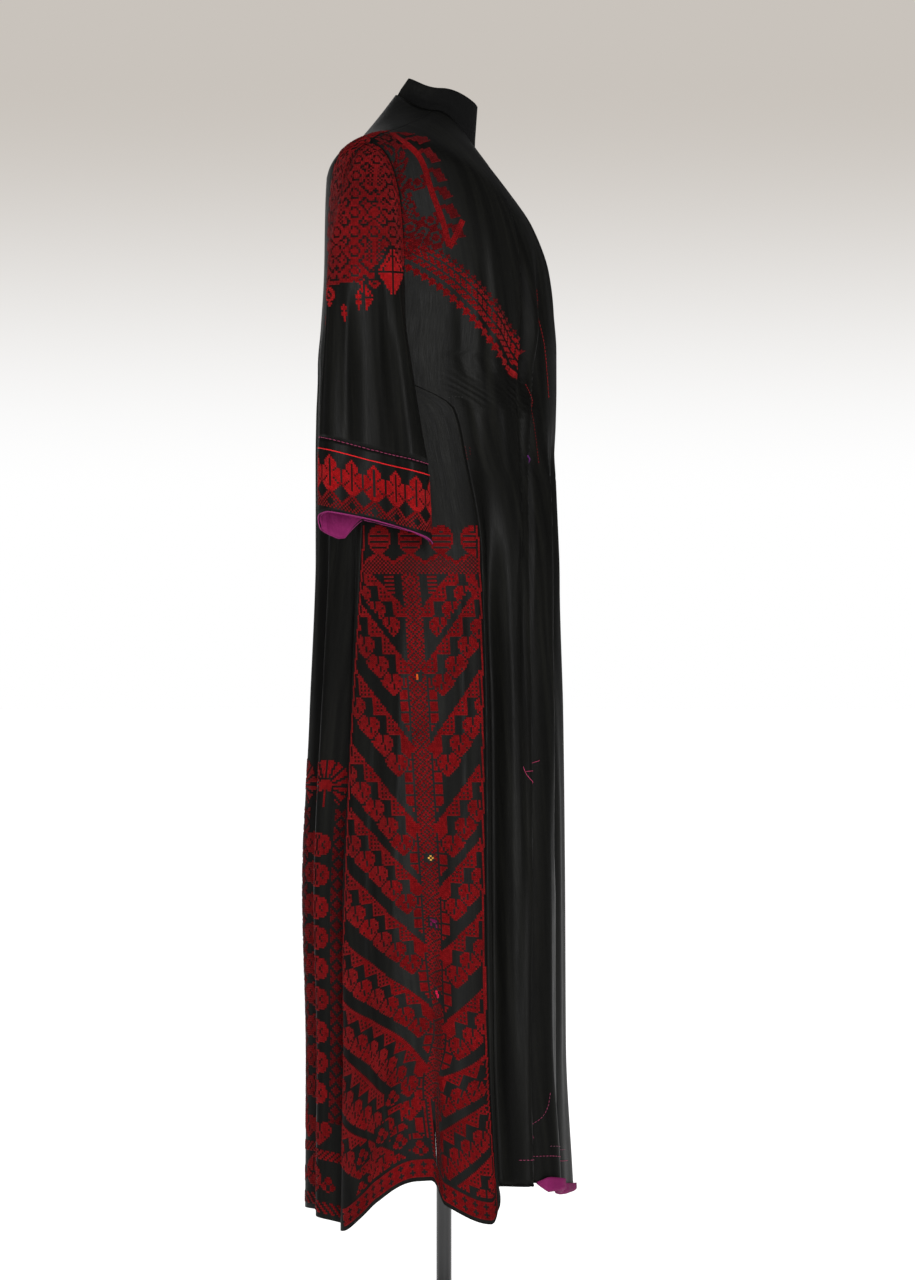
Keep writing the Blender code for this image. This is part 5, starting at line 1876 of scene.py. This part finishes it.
class THOBE_OT_stage(bpy.types.Operator):
    """Sets the pale floor, the soft studio light and the camera"""

    bl_idname = "thobe.stage"
    bl_label = "Stage"

    def execute(self, context):
        scene = context.scene
        bpy.ops.object.select_all(action="DESELECT")
        bpy.ops.mesh.primitive_circle_add(
            vertices=128, radius=FLOOR_RADIUS, fill_type="NGON", location=(0, 0, -0.0005)
        )
        floor = context.active_object
        floor.name = "floor"
        bpy.ops.object.transform_apply(location=True)
        material, tree, shader = new_material("floor_vinyl", roughness=0.7, emission_strength=0.93)
        place = node(tree, "ShaderNodeTexCoord", None, "Object")
        patch = grain(tree, place, (0.6, 0.6, 0.6))
        whites = {0: patch, 6: paint("#fdfdfd"), 7: paint("#ffffff")}
        finish_shader(tree, shader, node(tree, "ShaderNodeMix", whites, 2, **COLOURS))
        floor.data.materials.append(material)
        scene.world = bpy.data.worlds.new("studio")
        scene.world.use_nodes = True
        tree = scene.world.node_tree
        tree.nodes.clear()
        direction = node(tree, "ShaderNodeTexCoord", None, "Generated")
        height = node(tree, "ShaderNodeSeparateXYZ", {0: direction}, 2)
        rise = node(tree, "ShaderNodeMapRange", {0: height, 1: 0.035, 2: 0.14}, **EASE)
        seen = node(tree, "ShaderNodeMix", {0: rise, 6: (1, 1, 1, 1), 7: paint("#c9c3bc")}, 2, **COLOURS)
        backdrop = node(tree, "ShaderNodeBackground", {"Color": seen, "Strength": 1.0})
        overhead = node(tree, "ShaderNodeMapRange", {0: height, 1: 0.25, 2: 0.6, 3: 0.08, 4: 0.2}, **EASE)
        around = node(tree, "ShaderNodeBackground", {"Color": (1, 1, 1, 1), "Strength": overhead})
        camera_ray = node(tree, "ShaderNodeLightPath", None, "Is Camera Ray")
        both = node(tree, "ShaderNodeMixShader", {0: camera_ray, 1: around, 2: backdrop})
        node(tree, "ShaderNodeOutputWorld", {"Surface": both})
        for softbox in SOFTBOXES:
            data = bpy.data.lights.new(softbox.name, "AREA")
            data.shape = "RECTANGLE"
            data.size, data.size_y = softbox.size
            data.energy = softbox.power
            light = bpy.data.objects.new(softbox.name, data)
            light.location = softbox.place
            aim = mathutils.Vector(LIT_MIDDLE) - mathutils.Vector(softbox.place)
            light.rotation_euler = aim.to_track_quat("-Z", "Y").to_euler()
            scene.collection.objects.link(light)
        scene.view_settings.view_transform = "Standard"
        data = bpy.data.cameras.new("camera")
        data.lens, data.sensor_width = FOCAL_LENGTH, SENSOR_WIDTH
        camera = bpy.data.objects.new("camera", data)
        camera.location = CAMERA_PLACE
        camera.rotation_euler = (math.radians(90), 0, math.radians(-90))
        scene.collection.objects.link(camera)
        scene.camera = camera
        return {"FINISHED"}


PIECES = (
    THOBE_OT_body, THOBE_OT_sleeves, THOBE_OT_facings, THOBE_OT_side_embroidery, THOBE_OT_back_embroidery,
    THOBE_OT_shoulder_embroidery, THOBE_OT_sleeve_embroidery, THOBE_OT_chest_embroidery, THOBE_OT_threads,
    THOBE_OT_form, THOBE_OT_stand, THOBE_OT_stage,
)


class THOBE_PT_panel(bpy.types.Panel):
    """Lists what builds the thobe"""

    bl_label = "Thobe"
    bl_idname = "THOBE_PT_panel"
    bl_space_type = "VIEW_3D"
    bl_region_type = "UI"
    bl_category = "Thobe"

    def draw(self, context):
        for name in ThobeSettings.__annotations__:
            self.layout.prop(context.scene.thobe, name)
        for piece in PIECES:
            self.layout.operator(piece.bl_idname)


def register():
    for part in (ThobeSettings, *PIECES, THOBE_PT_panel):
        bpy.utils.register_class(part)
    bpy.types.Scene.thobe = bpy.props.PointerProperty(type=ThobeSettings)


def unregister():
    del bpy.types.Scene.thobe
    for part in (THOBE_PT_panel, *reversed(PIECES), ThobeSettings):
        bpy.utils.unregister_class(part)


def main():
    register()
    for piece in PIECES:
        group, name = piece.bl_idname.split(".")
        getattr(getattr(bpy.ops, group), name)()
    for cloth_name, (made, wide, long, area, rests_on) in SHEETS.items():
        area = min(area, wide * long)


if __name__ == "__main__":
    main()
